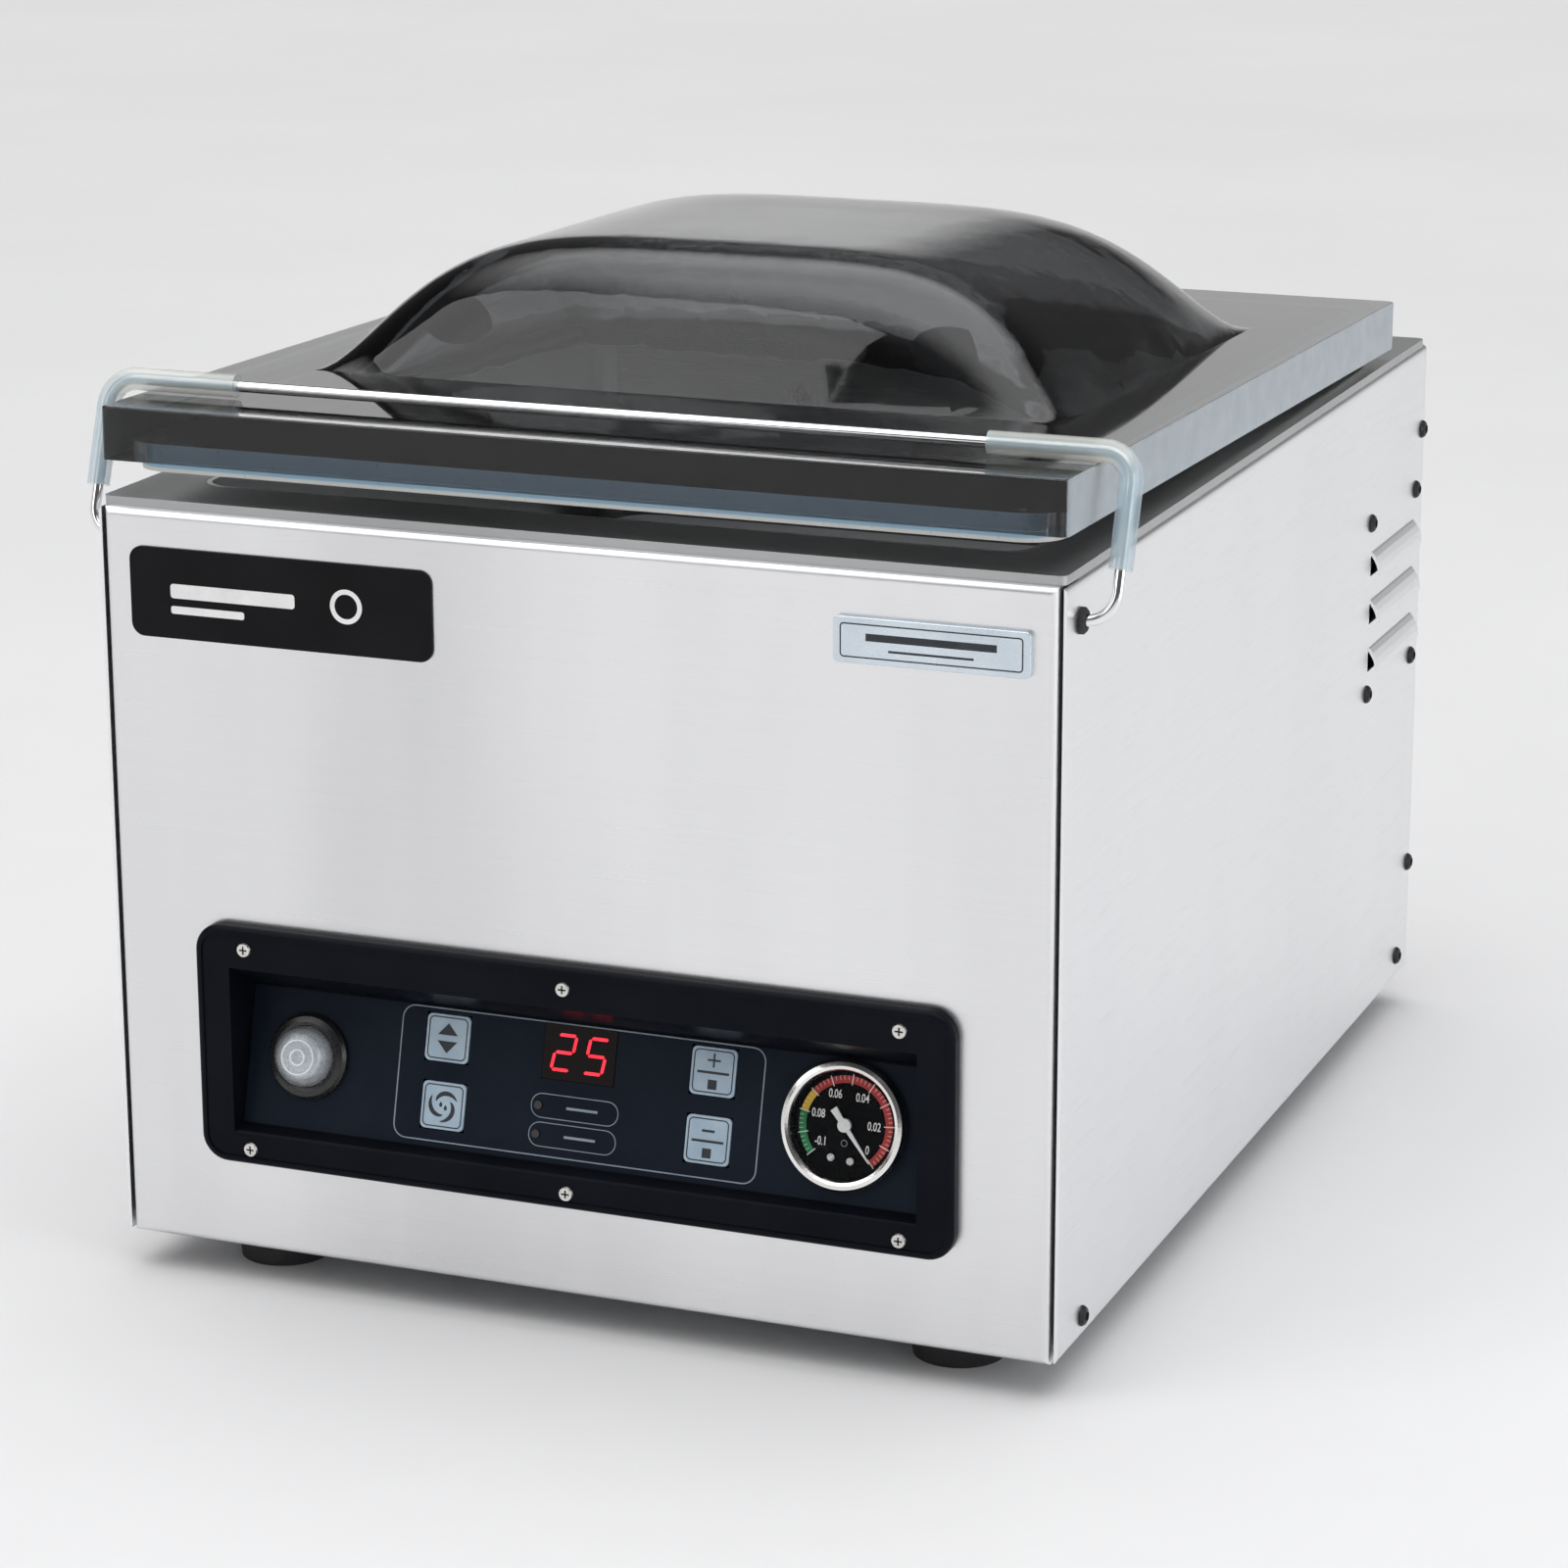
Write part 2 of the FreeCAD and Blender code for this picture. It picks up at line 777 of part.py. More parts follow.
def bezel():
    """A moulded frame around a recess whose floor slopes back."""
    wide = d.bezel_half_width
    face = slab("y", (-wide, wide), (d.bezel_low, d.bezel_high), (-d.rim_proud, Size(0)), d.bezel_corner)
    rounded(face, d.rim_round, lies_at("y", -d.rim_proud))
    dish_wide = wide - d.rim_width
    dish = slab(
        "y",
        (-dish_wide, dish_wide),
        (d.bezel_low + d.rim_width, d.bezel_high - d.rim_width),
        (-d.rim_proud - 1, -d.bezel_proud),
        d.bezel_corner - d.rim_width,
    )
    lean = math.radians(of(d.keypad_lean))
    rise = d.keypad_length * math.cos(lean)
    depth = d.keypad_length * math.sin(lean)
    foot = (d.keypad_back, d.keypad_up)
    head = (d.keypad_back + depth, d.keypad_up + rise)
    wall = d.recess_wall
    lag = (d.keypad_up - d.recess_low + wall) * math.tan(lean)

    def outside(outline):
        outline.polygon(
            [
                (Size(-1), d.recess_low - wall),
                (foot[0] + wall - lag, d.recess_low - wall),
                (head[0] + wall, head[1]),
                (Size(-1), d.recess_high + 0.5),
            ]
        )

    def inside(outline):
        lip = [
            (
                d.lip_round * (1 - math.cos(turn)) - d.bezel_proud,
                d.recess_low - d.lip_round * (1 - math.sin(turn)) + d.lip_overshoot * math.sin(turn),
            )
            for turn in (0, math.pi / 8, math.pi / 4, math.pi * 3 / 8, math.pi / 2)
        ]
        outline.polygon(
            [
                (-d.bezel_proud - 2, d.recess_low - d.lip_round),
                *lip,
                (foot[0], foot[1]),
                (head[0], head[1]),
                (-d.bezel_proud, d.recess_high),
                (-d.bezel_proud - 2, d.recess_high + 1),
            ]
        )

    box_wide = d.recess_half_width + wall
    shell = padded("x", (-box_wide, box_wide), outside)
    hollow = padded("x", (-d.recess_half_width, d.recess_half_width), inside)
    through = [keypad_hole(across, along) for _, across, along in keypad_places()]
    round_holes = [
        keypad_bore(d.gauge_across, d.gauge_along, d.gauge_hole),
        keypad_bore(d.switch_across, d.switch_along, d.boot_radius + d.boot_play),
    ]
    holes = [
        cylinder(d.bezel_screw_hole, 8, (x, -d.bezel_proud - 1, z), "y")
        for x, z in bezel_screw_places()
    ]
    window = keypad_block(*window_place(d.window_play), THROUGH)
    leds = [keypad_bore(d.led_across, along, d.led_radius + d.led_play) for along in led_places()]
    solid = fuse([face, shell])
    finish("control_bezel", cut(solid, [dish, hollow, *through, *round_holes, *holes, window, *leds]))


def bezel_screw_places():
    spread = d.bezel_screw_spread
    return [(x, z) for x in (-spread, Size(0), spread) for z in (d.bezel_screw_low, d.bezel_screw_high)]


def window_place(play):
    """The display window's stretches across and along the keypad, with play around it."""
    across = (d.window_left - play, d.window_right + play)
    along = (d.window_low - play, d.window_high + play)
    return across, along


def led_places():
    return [d.led_upper, d.led_lower]


def keypad_places():
    """The middle of each key on the keypad: name, across, along."""
    return [
        ("key_up_down", Size(-52.5), Size(39.8)),
        ("key_mode", Size(-52), Size(15.6)),
        ("key_plus", Size(49.8), Size(40.1)),
        ("key_minus", Size(50), Size(16.1)),
    ]


def onto_keypad(thing):
    """Turns a tool drawn on the keypad into the cabinet's frame."""
    thing.Placement = DATUM.inverse() * KEYPAD * thing.Placement
    return thing


def keypad_block(across, along, out):
    """A block in the keypad's frame, as a tool in the cabinet's."""
    body = slab("z", across, along, out, 0)
    return onto_keypad(body)


def keypad_hole(across, along):
    side = d.key_side + d.key_play * 2
    return keypad_block(around(across, side), around(along, side), THROUGH)


def keypad_bore(across, along, radius):
    low, high = THROUGH
    body = turned([(0, low), (radius, low), (radius, high), (0, high)])
    body.Placement = Placement(Vector(of(across), of(along), 0), Rotation())
    return onto_keypad(body)


def keypad():
    """The keypad's membrane, its keys, its window and its lamps."""

    def draw(outline):
        side = d.key_side + d.key_play * 2
        reach = d.recess_half_width - 0.4
        outline.rectangle((-reach, reach), (Size(0.6), d.keypad_length - 0.6))
        for _, across, along in keypad_places():
            outline.rectangle(around(across, side), around(along, side))
        outline.rectangle(*window_place(d.window_play))
        outline.circle(d.gauge_across, d.gauge_along, d.gauge_hole)
        outline.circle(d.switch_across, d.switch_along, d.boot_radius + d.boot_play)
        for along in led_places():
            outline.circle(d.led_across, along, d.led_radius + d.led_play)

    finish("keypad_overlay", padded("z", (Size(0), d.keypad_sheet), draw), KEYPAD)
    for name, across, along in keypad_places():
        side = d.key_side
        key = slab("z", around(across, side), around(along, side), (Size(-4), d.key_proud), 2)
        finish(name, rounded(key, 0.3, lies_at("z", d.key_proud)), KEYPAD)
    window = slab("z", *window_place(0), (Size(-5), d.keypad_sheet + 0.2), 0.8)
    finish("display_window", window, KEYPAD)
    lamps = [cylinder(d.led_radius, 7, (d.led_across, along, -6)) for along in led_places()]
    finish("indicator_leds", group(lamps), KEYPAD)


def control_board():
    """The board behind the keypad, with its relay, driver, display and key switches, on four posts."""
    face = d.board_out
    rear = face - d.board_thick
    board = slab("z", (Size(-76), Size(76)), (Size(2), Size(50)), (rear, face), 2)
    driver = box((Size(-30), Size(30)), (Size(4), Size(26)), (rear - 8, rear))
    relay = box((Size(-66), Size(-40)), (Size(6), Size(24)), (rear - 4, rear))
    display = box(*window_place(0), (face, face + 5))
    switches = [cylinder(3, 5.6, (across, along, face)) for _, across, along in keypad_places()]
    finish("control_board", fuse([board, driver, display, relay, *switches]), KEYPAD)
    posts = [cylinder(2.5, 7.8, (x, y, face)) for x in (-70, 70) for y in (6, 46)]
    finish("board_standoffs", group(posts), KEYPAD)


def bezel_screws():
    held = []
    for x, z in bezel_screw_places():
        head = cone(2.4, 2.7, d.screw_head, (x, -screw_front, z), "y")
        stem = cylinder(1.5, 7, (x, -d.bezel_proud, z), "y")
        held.append(fuse([head, stem]))
    finish("bezel_screws", cut(fuse(held), cross_slots()))


def cross_slots():
    """The crossed slots of the bezel's screws."""
    slots = []
    for x, z in bezel_screw_places():
        deep = (-screw_front - 1, -screw_front + 0.4)
        slots.append(box(around(x, Size(3)), deep, around(z, Size(0.6))))
        slots.append(box(around(x, Size(0.6)), deep, around(z, Size(3))))
    return slots


def gauge():
    """A dial gauge: case, dial, needle, glass and ring."""
    at = (d.gauge_across, d.gauge_along, 0)
    radius = of(d.gauge_radius)
    case = turned(
        [(0, -26), (20, -26), (20.5, -24), (20.5, 0.6), (19.4, 0.6), (19.4, -1.2), (0, -1.2)]
    )
    stem = turned([(0, -32), (3, -32), (3, -26), (0, -26)])
    finish("gauge_case", fuse([case, stem]), KEYPAD, at)
    ring = turned(
        [
            (19.2, 1),
            (radius - 0.4, 0.5),
            (radius, 1.2),
            (radius, 3),
            (radius - 0.9, 4.3),
            (radius - 2.3, 4.8),
            (radius - 3.4, 4.3),
            (19.2, 3.4),
        ]
    )
    finish("gauge_ring", ring, KEYPAD, at)
    dial = turned([(0, -1.1), (19.1, -1.1), (19.1, -0.3), (0, -0.3)])
    finish("gauge_dial", dial, KEYPAD, at)
    glass = turned([(0, 2.6), (d.gauge_lens, 2.6), (d.gauge_lens, 3.3), (0, 3.6)])
    finish("gauge_glass", glass, KEYPAD, at)
    hub = cylinder(2.4, 1.4, (0, 0, 0.3))
    upper = [(-7, 1.3), (0, 0.9), (15.8, 0.2)]
    lower = [(x, -y) for x, y in reversed(upper)]
    blade = padded("z", (Size(0.7), Size(1.3)), lambda outline: outline.polygon(upper + lower))
    spindle = cylinder(0.6, 0.45, (0, 0, -0.15))
    needle = fuse([hub, blade, spindle])
    finish("gauge_needle", needle, KEYPAD, at, Rotation(Z_AXIS, -50))


def power_switch():
    """A push switch: a collar on the keypad, a cap under a clear boot, and a body behind."""
    at = (d.switch_across, d.switch_along, 0)
    inner = of(d.boot_radius) + 0.3
    outer = of(d.collar_radius)
    collar = turned(
        [(inner, 0.5), (outer, 0.5), (outer, 2.2), (outer - 1, 3.4), (inner + 1.2, 4.2), (inner, 4)]
    )
    finish("switch_collar", collar, KEYPAD, at)
    boot_outer = of(d.boot_radius)
    boot = turned(
        [
            (boot_outer - 1.2, -2.3),
            (boot_outer, -2.3),
            (boot_outer, 5.2),
            (boot_outer - 0.8, 7.6),
            (boot_outer - 2.4, 9.4),
            (boot_outer - 5, 10.4),
            (0, 10.8),
            (0, 9.8),
            (boot_outer - 5.4, 9.4),
            (boot_outer - 3, 8.6),
            (boot_outer - 1.8, 7.1),
            (boot_outer - 1.2, 5),
        ]
    )
    finish("switch_boot", boot, KEYPAD, at)
    cap = turned([(0, -2), (8, -2), (8, 7.6), (7.2, 8.6), (3, 8.9), (2.6, 8.6), (0, 8.6)])
    finish("power_button_cap", cap, KEYPAD, at)
    flange = turned([(0, -30), (9, -30), (9, -11), (13, -11), (13, -5), (0, -5)])
    lugs = [box((Size(x), Size(x + 1)), (Size(-3), Size(3)), (Size(-38), Size(-30))) for x in (-5, 4)]
    finish("switch_body", fuse([flange, *lugs]), KEYPAD, at)


def badges():
    """Two blank plates on the front panel."""
    badge = slab("y", (Size(-167), Size(-49)), (Size(227), Size(259.5)), (-d.badge_thick, Size(0)), 5)
    finish("left_badge", badge)
    thick = d.nameplate_thick
    plate = slab("y", (Size(99.5), Size(169)), (Size(241.5), Size(257.4)), (-thick, Size(0)), 2)
    finish("nameplate", rounded(plate, 0.5, lies_at("y", -thick)))


# Seal bar


def seal_bar():
    """The heated bar across the chamber's front, on two lift cylinders."""
    wide = d.seal_half_length
    front = d.seal_front
    back = front + d.seal_width
    bar = slab("x", (front, back), (d.seal_low, d.seal_high), (-wide, wide), 1.5)
    finish("seal_bar", bar)
    top = (d.seal_high, d.seal_high + 0.5)
    tape = slab("z", (2 - wide, wide - 2), (front + 3.5, back - 3.5), top, 1)
    finish("seal_tape", tape)
    middle = front + d.seal_width / 2
    floor = chamber_floor + 0.1
    cylinders, rods = [], []
    for x in (-d.lift_spread, d.lift_spread):
        shell = cylinder(d.lift_radius, d.lift_height, (x, middle, floor))
        bore = cylinder(d.rod_radius + d.pin_play, d.lift_height, (x, middle, floor + d.lift_bottom))
        cylinders.append(cut(shell, [bore]))
        start = floor + d.rod_start
        rods.append(cylinder(d.rod_radius, d.seal_low - start, (x, middle, start)))
    finish("seal_lift_cylinders", group(cylinders))
    finish("seal_lift_rods", group(rods))


# Lid


# How soon each slope of the dome levels off, and how softly it leaves the flat
SIDE_SHARP = 4.3
FRONT_SHARP = 5
BACK_SHARP = 6
DOME_SOFT = 1.15


def swell(reach, sharp, soft):
    """How far a dome has risen, 0 to 1, at a share of the way in from its edge."""
    share = min(max(reach, 0.0), 1.0)
    return (1 - (1 - share) ** sharp) ** soft


def dome_rise(across, along, half, front, back):
    """The dome's height over its flat, as a share of its full height."""
    side = swell((half - abs(across)) / half, SIDE_SHARP, DOME_SOFT)
    near = swell((along - front) / of(d.dome_front_slope), FRONT_SHARP, DOME_SOFT)
    far = swell((back - along) / of(d.dome_back_slope), BACK_SHARP, DOME_SOFT)
    return side * near * far


def dome_block(inset, low, edge):
    """A solid under a dome: flat below, upright at the sides up to edge, and domed on top."""
    half = of(d.dome_half_width) - inset
    front = of(d.dome_front) + inset
    back = of(d.dome_back) - inset
    columns, rows = 33, 25
    grid = []
    for row in range(rows):
        along = front + (back - front) * (1 - math.cos(math.pi * row / (rows - 1))) / 2
        line = []
        for column in range(columns):
            across = -half * math.cos(math.pi * column / (columns - 1))
            rise = dome_rise(across, along, half, front, back)
            line.append(Vector(across, along, edge + of(d.dome_height) * rise))
        grid.append(line)
    surface = Part.BSplineSurface()
    surface.interpolate(grid)
    corners = [Vector(x, y, edge) for x, y in ((-half, front), (half, front), (half, back), (-half, back))]
    feet = [Vector(p.x, p.y, low) for p in corners]
    faces = [surface.toShape(), Part.Face(Part.makePolygon(feet + feet[:1]))]
    for n in range(4):
        after = (n + 1) % 4
        ring = [corners[n], corners[after], feet[after], feet[n], corners[n]]
        faces.append(Part.Face(Part.makePolygon(ring)))
    shell = Part.makeShell(faces)
    shell.sewShape()
    solid = Part.makeSolid(Part.Shell(shell.Faces))
    if solid.Volume < 0:
        solid.reverse()
    block = doc.addObject("Part::Feature", "Dome")
    block.Shape = solid
    return block


def lid():
    wide = d.lid_half_width
    plate = slab("z", (-wide, wide), (d.lid_front, d.lid_back), (d.lid_bottom, lid_top), d.lid_corner)
    rounded(plate, 0.8, lies_at("z", lid_top))
    outer = dome_block(0, of(lid_top) - 4, of(lid_top))
    inner = dome_block(of(d.dome_wall), of(d.lid_bottom) - 1, of(lid_top) - of(d.dome_wall))
    groove = gasket_ring(0.1, (d.lid_bottom - 1, d.lid_bottom + d.gasket_groove + 0.1))
    finish("lid_shell", cut(fuse([plate, outer]), [inner, groove]), LID)
    seal = gasket_ring(0, (d.lid_bottom - d.gasket_proud, d.lid_bottom + d.gasket_groove))
    finish("lid_gasket", seal, LID)
    front = d.seal_front
    back = front + d.seal_width
    reach = d.seal_half_length
    holder = d.lid_bottom - d.pad_drop
    bar = slab("z", (-reach, reach), (front, back), (holder, d.lid_bottom), 2)
    pad = slab("z", (2 - reach, reach - 2), (front + 4, back - 4), (holder - 2, holder), 1)
    finish("lid_pad_bar", fuse([bar, pad]), LID)
    behind = of(d.dome_wall + d.pad_glue)
    room = dome_block(behind, of(d.lid_bottom), of(lid_top) - behind)
    pads = [common([dome_pad(x), room]) for x in (-d.pad_spread, d.pad_spread)]
    finish("dome_discs", group(pads), LID)


def dome_pad(across):
    """An oval block across the dome's inner face, of which the part inside the dome is kept."""

    def oval(outline):
        turns = [math.radians(15 * count) for count in range(24)]
        wide, tall = of(d.pad_half_width), of(d.pad_half_height)
        outline.polygon([(wide * math.cos(turn), tall * math.sin(turn)) for turn in turns])

    block = padded("z", (-d.pad_thick, d.pad_thick), oval)
    place = Vector(of(across), of(d.pad_back), of(d.pad_up))
    block.Placement = Placement(place, Rotation(X_AXIS, of(d.pad_lean)))
    return block


def gasket_ring(play, span):
    """The soft ring that seals the lid, or with play, the groove that it sits in."""
    near = d.gasket_inset - play
    far = d.gasket_inset + d.gasket_width + play
    outer, inner = [
        slab(
            "z",
            (inset - d.lid_half_width, d.lid_half_width - inset),
            (d.lid_front + inset, d.lid_back - inset),
            span,
            corner,
        )
        for inset, corner in ((near, d.gasket_corner), (far, d.gasket_corner - d.gasket_width))
    ]
    return cut(outer, [inner])


def hinges():
    """Two hinges behind the lid: a strap on the lid's rear edge, a bracket on the deck, a pin, a spring."""
    straps, brackets, pins, springs = [], [], [], []
    up = d.hinge_up
    back = d.hinge_back
    bore = d.pin_radius + d.pin_play
    for side in (-1, 1):
        middle = d.hinge_spread * side
        leaf = around(middle, d.hinge_leaf)
        plate = box(leaf, (d.lid_back, d.lid_back + 3), (d.lid_bottom + 0.7, lid_top - 0.8))
        arm = box(leaf, (d.lid_back + 2, back), (up - 4, up + 4))
        knuckle = cylinder(d.knuckle_radius, d.hinge_leaf, (leaf[0], back, up), "x")
        hole = cylinder(bore, d.hinge_leaf + 4, (leaf[0] - 2, back, up), "x")
        straps.append(cut(fuse([plate, arm, knuckle]), [hole]))
        ears = [padded("x", (low, low + 5), hinge_ear) for low in (leaf[0] - 5.3, leaf[1] + 0.3)]
        foot = box((leaf[0] - 5.3, leaf[1] + 5.3), (back + 12, back + 32), (deck_top, deck_top + 3))
        through = cylinder(bore, d.hinge_leaf + 16, (leaf[0] - 8, back, up), "x")
        brackets.append(cut(fuse([*ears, foot]), [through]))
        outward = leaf[1] + 5.3 if side > 0 else leaf[0] - 5.3
        start = leaf[0] - 7 if side > 0 else outward - 20
        pins.append(cylinder(d.pin_radius, d.hinge_leaf + 32.3, (start, back, up), "x"))
        springs.append(hinge_spring(outward, side))
    finish("lid_hinge_straps", group(straps), LID)
    finish("hinge_brackets", group(brackets))
    finish("hinge_pins", group(pins))
    finish("hinge_springs", group(springs))


def hinge_ear(outline):
    """The side of a bracket's ear, round the pin and down to the deck."""
    up = d.hinge_up
    back = d.hinge_back
    outline.polygon(
        [
            (back - 7, deck_top),
            (back + 32, deck_top),
            (back + 32, deck_top + 3),
            (back + 6, up + 6),
            (back - 5, up + 6),
            (back - 7, up + 3),
        ]
    )


def hinge_spring(outward, side):
    """A torsion coil round the pin, outside the bracket."""
    length = 15.4
    gap = 1.2
    radius = 4.6
    coil = doc.addObject("Part::Helix", "Coil")
    coil.Pitch = length / 7
    coil.Height = length
    coil.Radius = radius
    ring = doc.addObject("Part::Circle", "Wire")
    ring.Radius = 0.9
    ring.Placement = Placement(Vector(radius, 0, 0), Rotation(X_AXIS, 90))
    spring = doc.addObject("Part::Sweep", "Spring")
    spring.Sections = [ring]
    doc.recompute()
    spring.Spine = (coil, ["Edge1"])
    spring.Solid = True
    spring.Frenet = True
    start = of(outward) + gap if side > 0 else of(outward) - gap - length
    at = Vector(start, of(d.hinge_back), of(d.hinge_up))
    spring.Placement = Placement(at, ALONG["x"])
    return spring


# Bail


def bail():
    """A wire bail over the lid's front edge, with soft sleeves on its corners, in grommets on the sides."""
    wide = d.bail_half_width
    reach = d.bail_reach
    end = half_width - 7
    points = [(end, 0, 0), (wide, 0, 0), (wide, reach, 0), (-wide, reach, 0), (-wide, 0, 0), (-end, 0, 0)]
    finish("bail_wire", swept(points, d.bail_bend, d.bail_wire_radius), BAIL)
    sleeves = []
    for side in (-1, 1):
        edge = side * wide
        path = [(side * d.sleeve_start, reach, 0), (edge, reach, 0), (edge, d.sleeve_end, 0)]
        skin = swept(path, d.bail_bend, d.sleeve_radius)
        core = swept(path, d.bail_bend, d.bail_wire_radius + d.pin_play)
        sleeves.append(cut(skin, [core]))
    finish("bail_sleeves", group(sleeves), BAIL)
    caps = []
    for side in (-1, 1):
        cap = turned([(2.2, -2.2), (3.1, -2.2), (3.1, 0), (4.6, 0), (4.6, 1.2), (3.8, 2), (2.2, 2)])
        place = Vector(side * of(half_width), of(d.bail_back), of(d.bail_up))
        cap.Placement = Placement(place, Rotation(Y_AXIS, 90 * side))
        caps.append(cap)
    finish("bail_grommets", group(caps))


# Fan


def fan():
    """A square axial fan behind the right louvres."""
    side = d.fan_side
    outer = half_width - 3.2
    inner = outer - d.fan_depth
    middle = (d.fan_back, d.fan_up)
    frame = slab("x", around(middle[0], side), around(middle[1], side), (inner, outer), 4)
    through = d.fan_depth + 2
    bore = cylinder(d.fan_bore, through, (inner - 1, *middle), "x")
    holes = [cylinder(d.screw_hole, through, (inner - 1, y, z), "x") for y, z in fan_screw_places()]
    ring = cut(frame, [bore, *holes])
    hub = cylinder(14, 3, (inner, *middle), "x")
    long = side - 2
    arms = [
        box((inner, inner + 3), around(middle[0], long), around(middle[1], Size(4))),
        box((inner, inner + 3), around(middle[0], Size(4)), around(middle[1], long)),
    ]
    finish("fan_housing", fuse([ring, hub, *arms]))
    count = int(of(d.fan_blade_count))
    pitched = Placement(Vector(0, 0, 9), Rotation(X_AXIS, of(d.fan_blade_pitch)))
    blades = []
    for n in range(count):
        blade = slab("z", (Size(8), Size(35.5)), (Size(-8.5), Size(8.5)), (Size(-0.8), Size(0.8)), 3)
        blade.Placement = Placement(Vector(), Rotation(Z_AXIS, 360 * n / count)) * pitched
        blades.append(blade)
    core = turned([(0, 0), (15, 0), (16, 1), (16, 18), (14, 19), (0, 19)])
    rotor = fuse([core, *blades])
    finish("fan_rotor", rotor, DATUM, (inner + 4, *middle), ALONG["x"])


# Pump, transformer, vacuum line and power inlet


def pump():
    """The pump and its motor, bolted together on eight soft mounts."""
    middle = d.pump_across
    low = d.pump_low
    floor = d.side_sheet + d.base_sheet
    depth = (Size(150), Size(266))
    block = box(around(middle, Size(112)), depth, (Size(30), Size(134)))
    flange = box(around(middle, Size(128)), depth, (low, Size(30)))
    ribs = []
    for y in range(160, 260, 16):
        ribs.append(box(around(middle, Size(124)), (Size(y), Size(y + 4)), (Size(26), Size(140))))
    stub = cylinder(8, 8, (middle, 200, 134))
    finish("pump_body", fuse([block, *ribs, flange, stub]))
    motor = cylinder(d.motor_radius, 120, (middle, depth[1], d.motor_up), "y")
    cover = cylinder(d.motor_radius - 6, 14, (middle, depth[1] + 120, d.motor_up), "y")
    terminals = box(around(middle, Size(60)), (Size(290), Size(350)), (Size(120), Size(148)))
    feet = box(around(middle, Size(120)), (Size(290), Size(360)), (low, Size(36)))
    finish("pump_motor", fuse([motor, cover, terminals, feet]))
    places = [(middle + x, y) for x in (-48, 48) for y in (165, 250, 300, 350)]
    mounts = [cylinder(10, low - floor, (x, y, floor)) for x, y in places]
    finish("pump_mounts", group(mounts))


def transformer():
    """A core on the floor tray with a coil round its middle."""
    floor = d.side_sheet + d.base_sheet
    core = box((Size(80), Size(150)), (Size(170), Size(230)), (floor, Size(80)))
    coil = box((Size(92), Size(138)), (Size(156), Size(244)), (Size(18), Size(66)))
    finish("transformer", fuse([core, coil]))


def vacuum_line():
    """The chamber's port, flanged outside its wall, the valve behind it, and the hoses to the pump."""
    across = d.valve_across
    back = d.valve_back
    top = Size(124)
    valve = box((across - 24, across + 24), around(back, Size(24)), (top - 24, top))
    solenoid = cylinder(11, 40, (across, back, top - 64))
    inward = cylinder(5, 8, (across - 12, back, top))
    for_gauge = cylinder(3, 8, (across + 14, back, top))
    outward = cylinder(5, 8, (across, back - 20, top - 12), "y")
    finish("solenoid_valve", fuse([valve, solenoid, inward, for_gauge, outward]))
    inner = -d.chamber_wall - d.weld_gap
    tube = turned([(4.5, inner), (8, inner), (8, 0), (14, 0), (14, 2.7), (8, 2.7), (8, 20), (4.5, 20)])
    at = (d.port_across, d.chamber_back + d.weld_gap, d.port_up)
    finish("vacuum_port", tube, DATUM, at, ALONG["y"])
    down = [
        (d.port_across, d.chamber_back + 21, d.port_up),
        (d.port_across, back, d.port_up),
        (d.port_across, back, 200),
        (across - 12, back, 180),
        (across - 12, back, top + 9),
    ]
    ahead = [
        (across, back - 21, top - 12),
        (across, back - 31, top - 12),
        (across, back - 31, d.hose_up + 1),
        (d.pump_across, 380, d.hose_up + 1),
        (d.pump_across, 200, d.hose_up + 1),
        (d.pump_across, 200, 143),
    ]
    finish("vacuum_hose", group([swept(down, 8, 7), swept(ahead, 8, 6)]))
    gauge_line(across + 14, back, top + 9)


def gauge_line(across, back, end):
    """The thin hose from the back of the gauge to the valve."""
    lean = math.radians(of(d.keypad_lean))
    reach = 32.5
    start = d.keypad_back + d.gauge_along * math.sin(lean) + reach * math.cos(lean)
    up = d.keypad_up + d.gauge_along * math.cos(lean) - reach * math.sin(lean)
    line = [
        (d.gauge_across, start, up),
        (d.gauge_across, 70, up - 6),
        (d.gauge_across, 70, d.hose_up),
        (d.gauge_across, 440, d.hose_up),
        (across, back, d.hose_up),
        (across, back, end),
    ]
    finish("gauge_hose", swept(line, 10, 2.4))


def power_inlet():
    """A flanged mains inlet with three blades, in the rear panel."""
    back = rear_face
    across = d.inlet_across
    up = d.inlet_up
    flange = box(around(across, Size(50)), (back, d.inlet_rear), around(up, Size(23)))
    shell = box(around(across, Size(28)), (back - 20, back + 1), around(up, Size(19)))
    cavity = box(around(across, Size(24)), (back - 17, d.inlet_rear + 1), around(up, Size(16)))
    blades = [
        box(around(across + x, Size(2)), (back - 18, back - 1), around(up + z, Size(4)))
        for x, z in ((-7, -2), (0, 2), (7, -2))
    ]
    hollow = cut(fuse([flange, shell]), [cavity])
    finish("power_inlet", fuse([hollow, *blades]))


def check_and_write():
    doc.recompute()
    for thing in doc.Objects:
        if {"Invalid", "Error"} & set(thing.State):
            raise RuntimeError(f"{thing.Name} ({thing.Label}) didn't build: {thing.State}")
    for label, thing in pieces.items():
        if thing.Shape.isNull() or not thing.Shape.isValid() or not thing.Shape.Solids:
            raise RuntimeError(f"{label} has no valid shape")
    os.makedirs("parts", exist_ok=True)
    for label, thing in pieces.items():
        thing.Shape.exportStep(os.path.join("parts", label + ".step"))
        print(label, round(thing.Shape.Volume / 1000, 2), "cm3", len(thing.Shape.Solids), "solids")


front_panel()
side_panels()
screws()
rear_panel()
base()
deck_and_chamber()
bezel()
keypad()
control_board()
bezel_screws()
gauge()
power_switch()
badges()
seal_bar()
lid()
hinges()
bail()
fan()
pump()
transformer()
vacuum_line()
power_inlet()
check_and_write()
